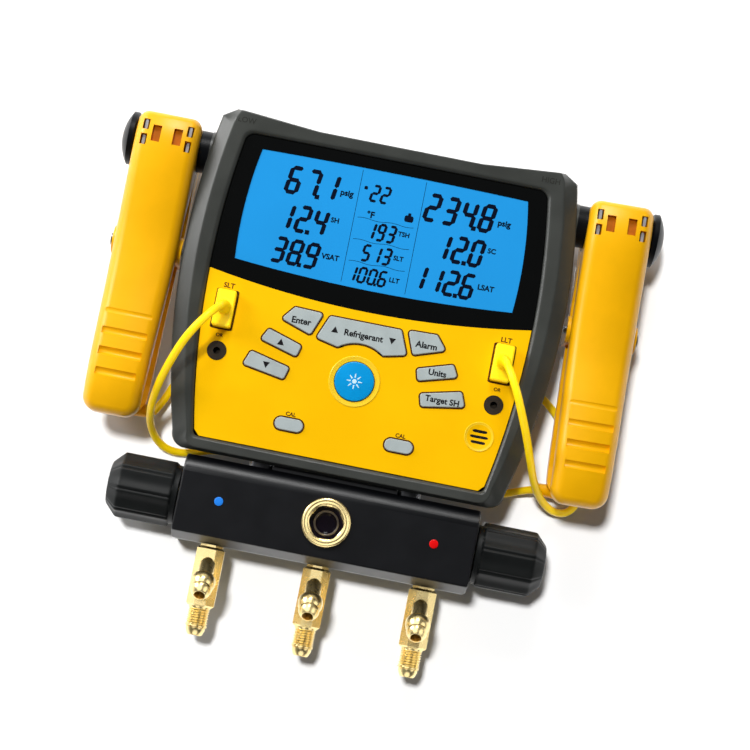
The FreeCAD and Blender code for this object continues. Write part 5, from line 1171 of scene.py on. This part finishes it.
# Small round-sided plates in the clamp's windows, turned with the clamp's lean about its own middle
def makeWindows(side):
    place = clampWindows
    middle = np.array([place["x"][side], place["height"]])
    lean = math.radians(place["lean"][side])
    turn = np.array([[math.cos(lean), math.sin(lean)], [-math.sin(lean), math.cos(lean)]])
    wires, floors = [], []
    for sx in (-1, 1):
        for sy in (-1, 1):
            wires.append(roundPlate(sx * place["smallX"], place["rise"] + sy * place["smallRise"], place["wire"],
                                    place["wireLow"], place["wireTop"]))
        floors.append(roundPlate(sx * place["largeX"], place["rise"], place["largeSize"], place["floorLow"],
                                 place["floorTop"]))
    for name, plates, slotName, look in (("windowWires_", wires, "steel", "springWire"),
                                         ("windowFloors_", floors, "clamp_yellow", "windowFloorShade")):
        parts = [slab(line @ turn + middle, low, top) for line, low, top in plates]
        addPiece(name + side, parts, slotName, look, "clamp_front_" + side, sharp=40)


for side in ("left", "right"):
    makeWindows(side)
print("clamp windows filled")

# Studio: a pale floor, suns from the upper left, soft discs, and a world that is brightest at the horizon and on the
# left; each lamp has its direction and its strength or power, and a sun's angle or a disc's size
studio = {
    "floorSize": 6.0, "floorColour": (0.60, 0.60, 0.60, 1.0), "floorRough": 0.9,
    "floorLift": 0.03, "floorShine": 0.32,
    "worldBands": [(0.0, 0.85), (0.18, 0.70), (0.42, 0.18), (1.0, 0.13)],
    "worldRight": 0.25, "worldLean": (0.85, -0.5), "worldFrom": -0.6, "worldTo": 0.4,
    "suns": {"key": ((-0.20, 0.20, 1.0), 1.75, 5.0), "floor": ((-0.18, 0.17, 1.0), 4.8, 7.0)},
    "discs": {"side": ((-0.90, 0.44, 0.40), 6.0, 0.5), "top": ((-0.12, 0.92, 0.78), 5.5, 0.36),
              "glint": ((-0.34, 0.26, 0.95), 4.6, 1.1), "glintRight": ((0.70, 0.06, 0.62), 2.2, 0.8),
              "glintLow": ((0.06, -0.85, 0.55), 2.6, 0.9)},
    "aim": (0.0, 0.0, 0.02),
}


# Flat square under the gauge; it glows a little towards the camera and in what mirrors it, by the kind of ray
def makeFloor():
    half = studio["floorSize"] / 2
    mesh = bpy.data.meshes.new("floor")
    mesh.from_pydata([(-half, -half, 0), (half, -half, 0), (half, half, 0), (-half, half, 0)], [], [(0, 1, 2, 3)])
    floor = newObject("floor", mesh)
    material, tree, shader, _ = newMaterial("floorPaint")
    shader.inputs["Base Color"].default_value = studio["floorColour"]
    shader.inputs["Roughness"].default_value = studio["floorRough"]
    shader.inputs["Specular IOR Level"].default_value = 0.0
    light = addNode(tree, "LightPath")
    seen = calculate(tree, "MULTIPLY", light.outputs["Is Camera Ray"], studio["floorLift"])
    shone = calculate(tree, "MULTIPLY", light.outputs["Is Glossy Ray"], studio["floorShine"])
    glow = addNode(tree, "Emission", {"Color": (1, 1, 1, 1), "Strength": calculate(tree, "ADD", seen, shone)})
    both = addNode(tree, "AddShader", {0: shader.outputs["BSDF"], 1: glow.outputs["Emission"]})
    output = next(node for node in tree.nodes if node.type == "OUTPUT_MATERIAL")
    tree.links.new(both.outputs["Shader"], output.inputs["Surface"])
    mesh.materials.append(material)
    return floor


# The world's strength is a band of the height times a slope across X and Y; the camera and clear glass see white
def makeWorld():
    world = bpy.data.worlds.new("studio")
    bpy.context.scene.world = world
    world.use_nodes = True
    tree = world.node_tree
    tree.nodes.clear()
    split = addNode(tree, "SeparateXYZ", {0: addNode(tree, "TexCoord").outputs["Generated"]})
    bands = [(position, (strength, strength, strength, 1)) for position, strength in studio["worldBands"]]
    sideways = calculate(tree, "MULTIPLY", split.outputs["X"], studio["worldLean"][0])
    lengthways = calculate(tree, "MULTIPLY", split.outputs["Y"], studio["worldLean"][1])
    across = spread(tree, calculate(tree, "ADD", sideways, lengthways), 1.0, studio["worldRight"],
                    studio["worldFrom"], studio["worldTo"])
    room = addNode(tree, "Background", {"Color": ramp(tree, split.outputs["Z"], bands), "Strength": across})
    white = addNode(tree, "Background", {"Color": (1, 1, 1, 1)})
    light = addNode(tree, "LightPath")
    seen = calculate(tree, "MAXIMUM", light.outputs["Is Camera Ray"], light.outputs["Is Transmission Ray"])
    mix = addNode(tree, "MixShader", {"Fac": seen, 1: room.outputs["Background"], 2: white.outputs["Background"]})
    addNode(tree, "OutputWorld", {"Surface": mix.outputs["Shader"]})


# A lamp stands in its direction from the aim, and its own -Z axis points at the aim
def addLamp(name, kind, place, energy):
    data = bpy.data.lights.new(name + "Lamp", kind)
    data.energy = energy
    item = newObject(data.name, data)
    way = Vector(studio["aim"]) - Vector(place)
    item.matrix_world = Matrix.Translation(place) @ way.to_track_quat("-Z", "Y").to_matrix().to_4x4()
    return item


# A collection that a lamp's light linking names
def linkedTo(name, items):
    group = bpy.data.collections.new(name)
    for item in items:
        group.objects.link(item)
    return group


# One sun lights the gauge and one the floor; the side and top discs give the edges their shine, and the glint discs
# reach only the brass and the cords
def makeLamps(floor):
    shiny = (finishes["brass"], finishes["cord_yellow"])
    bright = linkedTo("brightPieces", [item for item in bpy.context.scene.objects if item.type in ("MESH", "CURVE")
                                       and item.data.materials and item.data.materials[0] in shiny])
    ground = linkedTo("ground", [floor])
    aboveGround = linkedTo("aboveGround", [floor])
    aboveGround.collection_objects[0].light_linking.link_state = "EXCLUDE"
    for name, (place, strength, angle) in studio["suns"].items():
        lamp = addLamp(name, "SUN", place, strength)
        lamp.data.angle = math.radians(angle)
        lamp.visible_glossy = False
        lamp.light_linking.receiver_collection = ground if name == "floor" else aboveGround
    for name, (place, power, size) in studio["discs"].items():
        lamp = addLamp(name, "AREA", place, power)
        lamp.data.shape = "DISK"
        lamp.data.size = size
        if name.startswith("glint"):
            lamp.light_linking.receiver_collection = bright


floor = makeFloor()
makeWorld()
makeLamps(floor)
bpy.context.scene.view_settings.view_transform = "Standard"
print("studio lit")
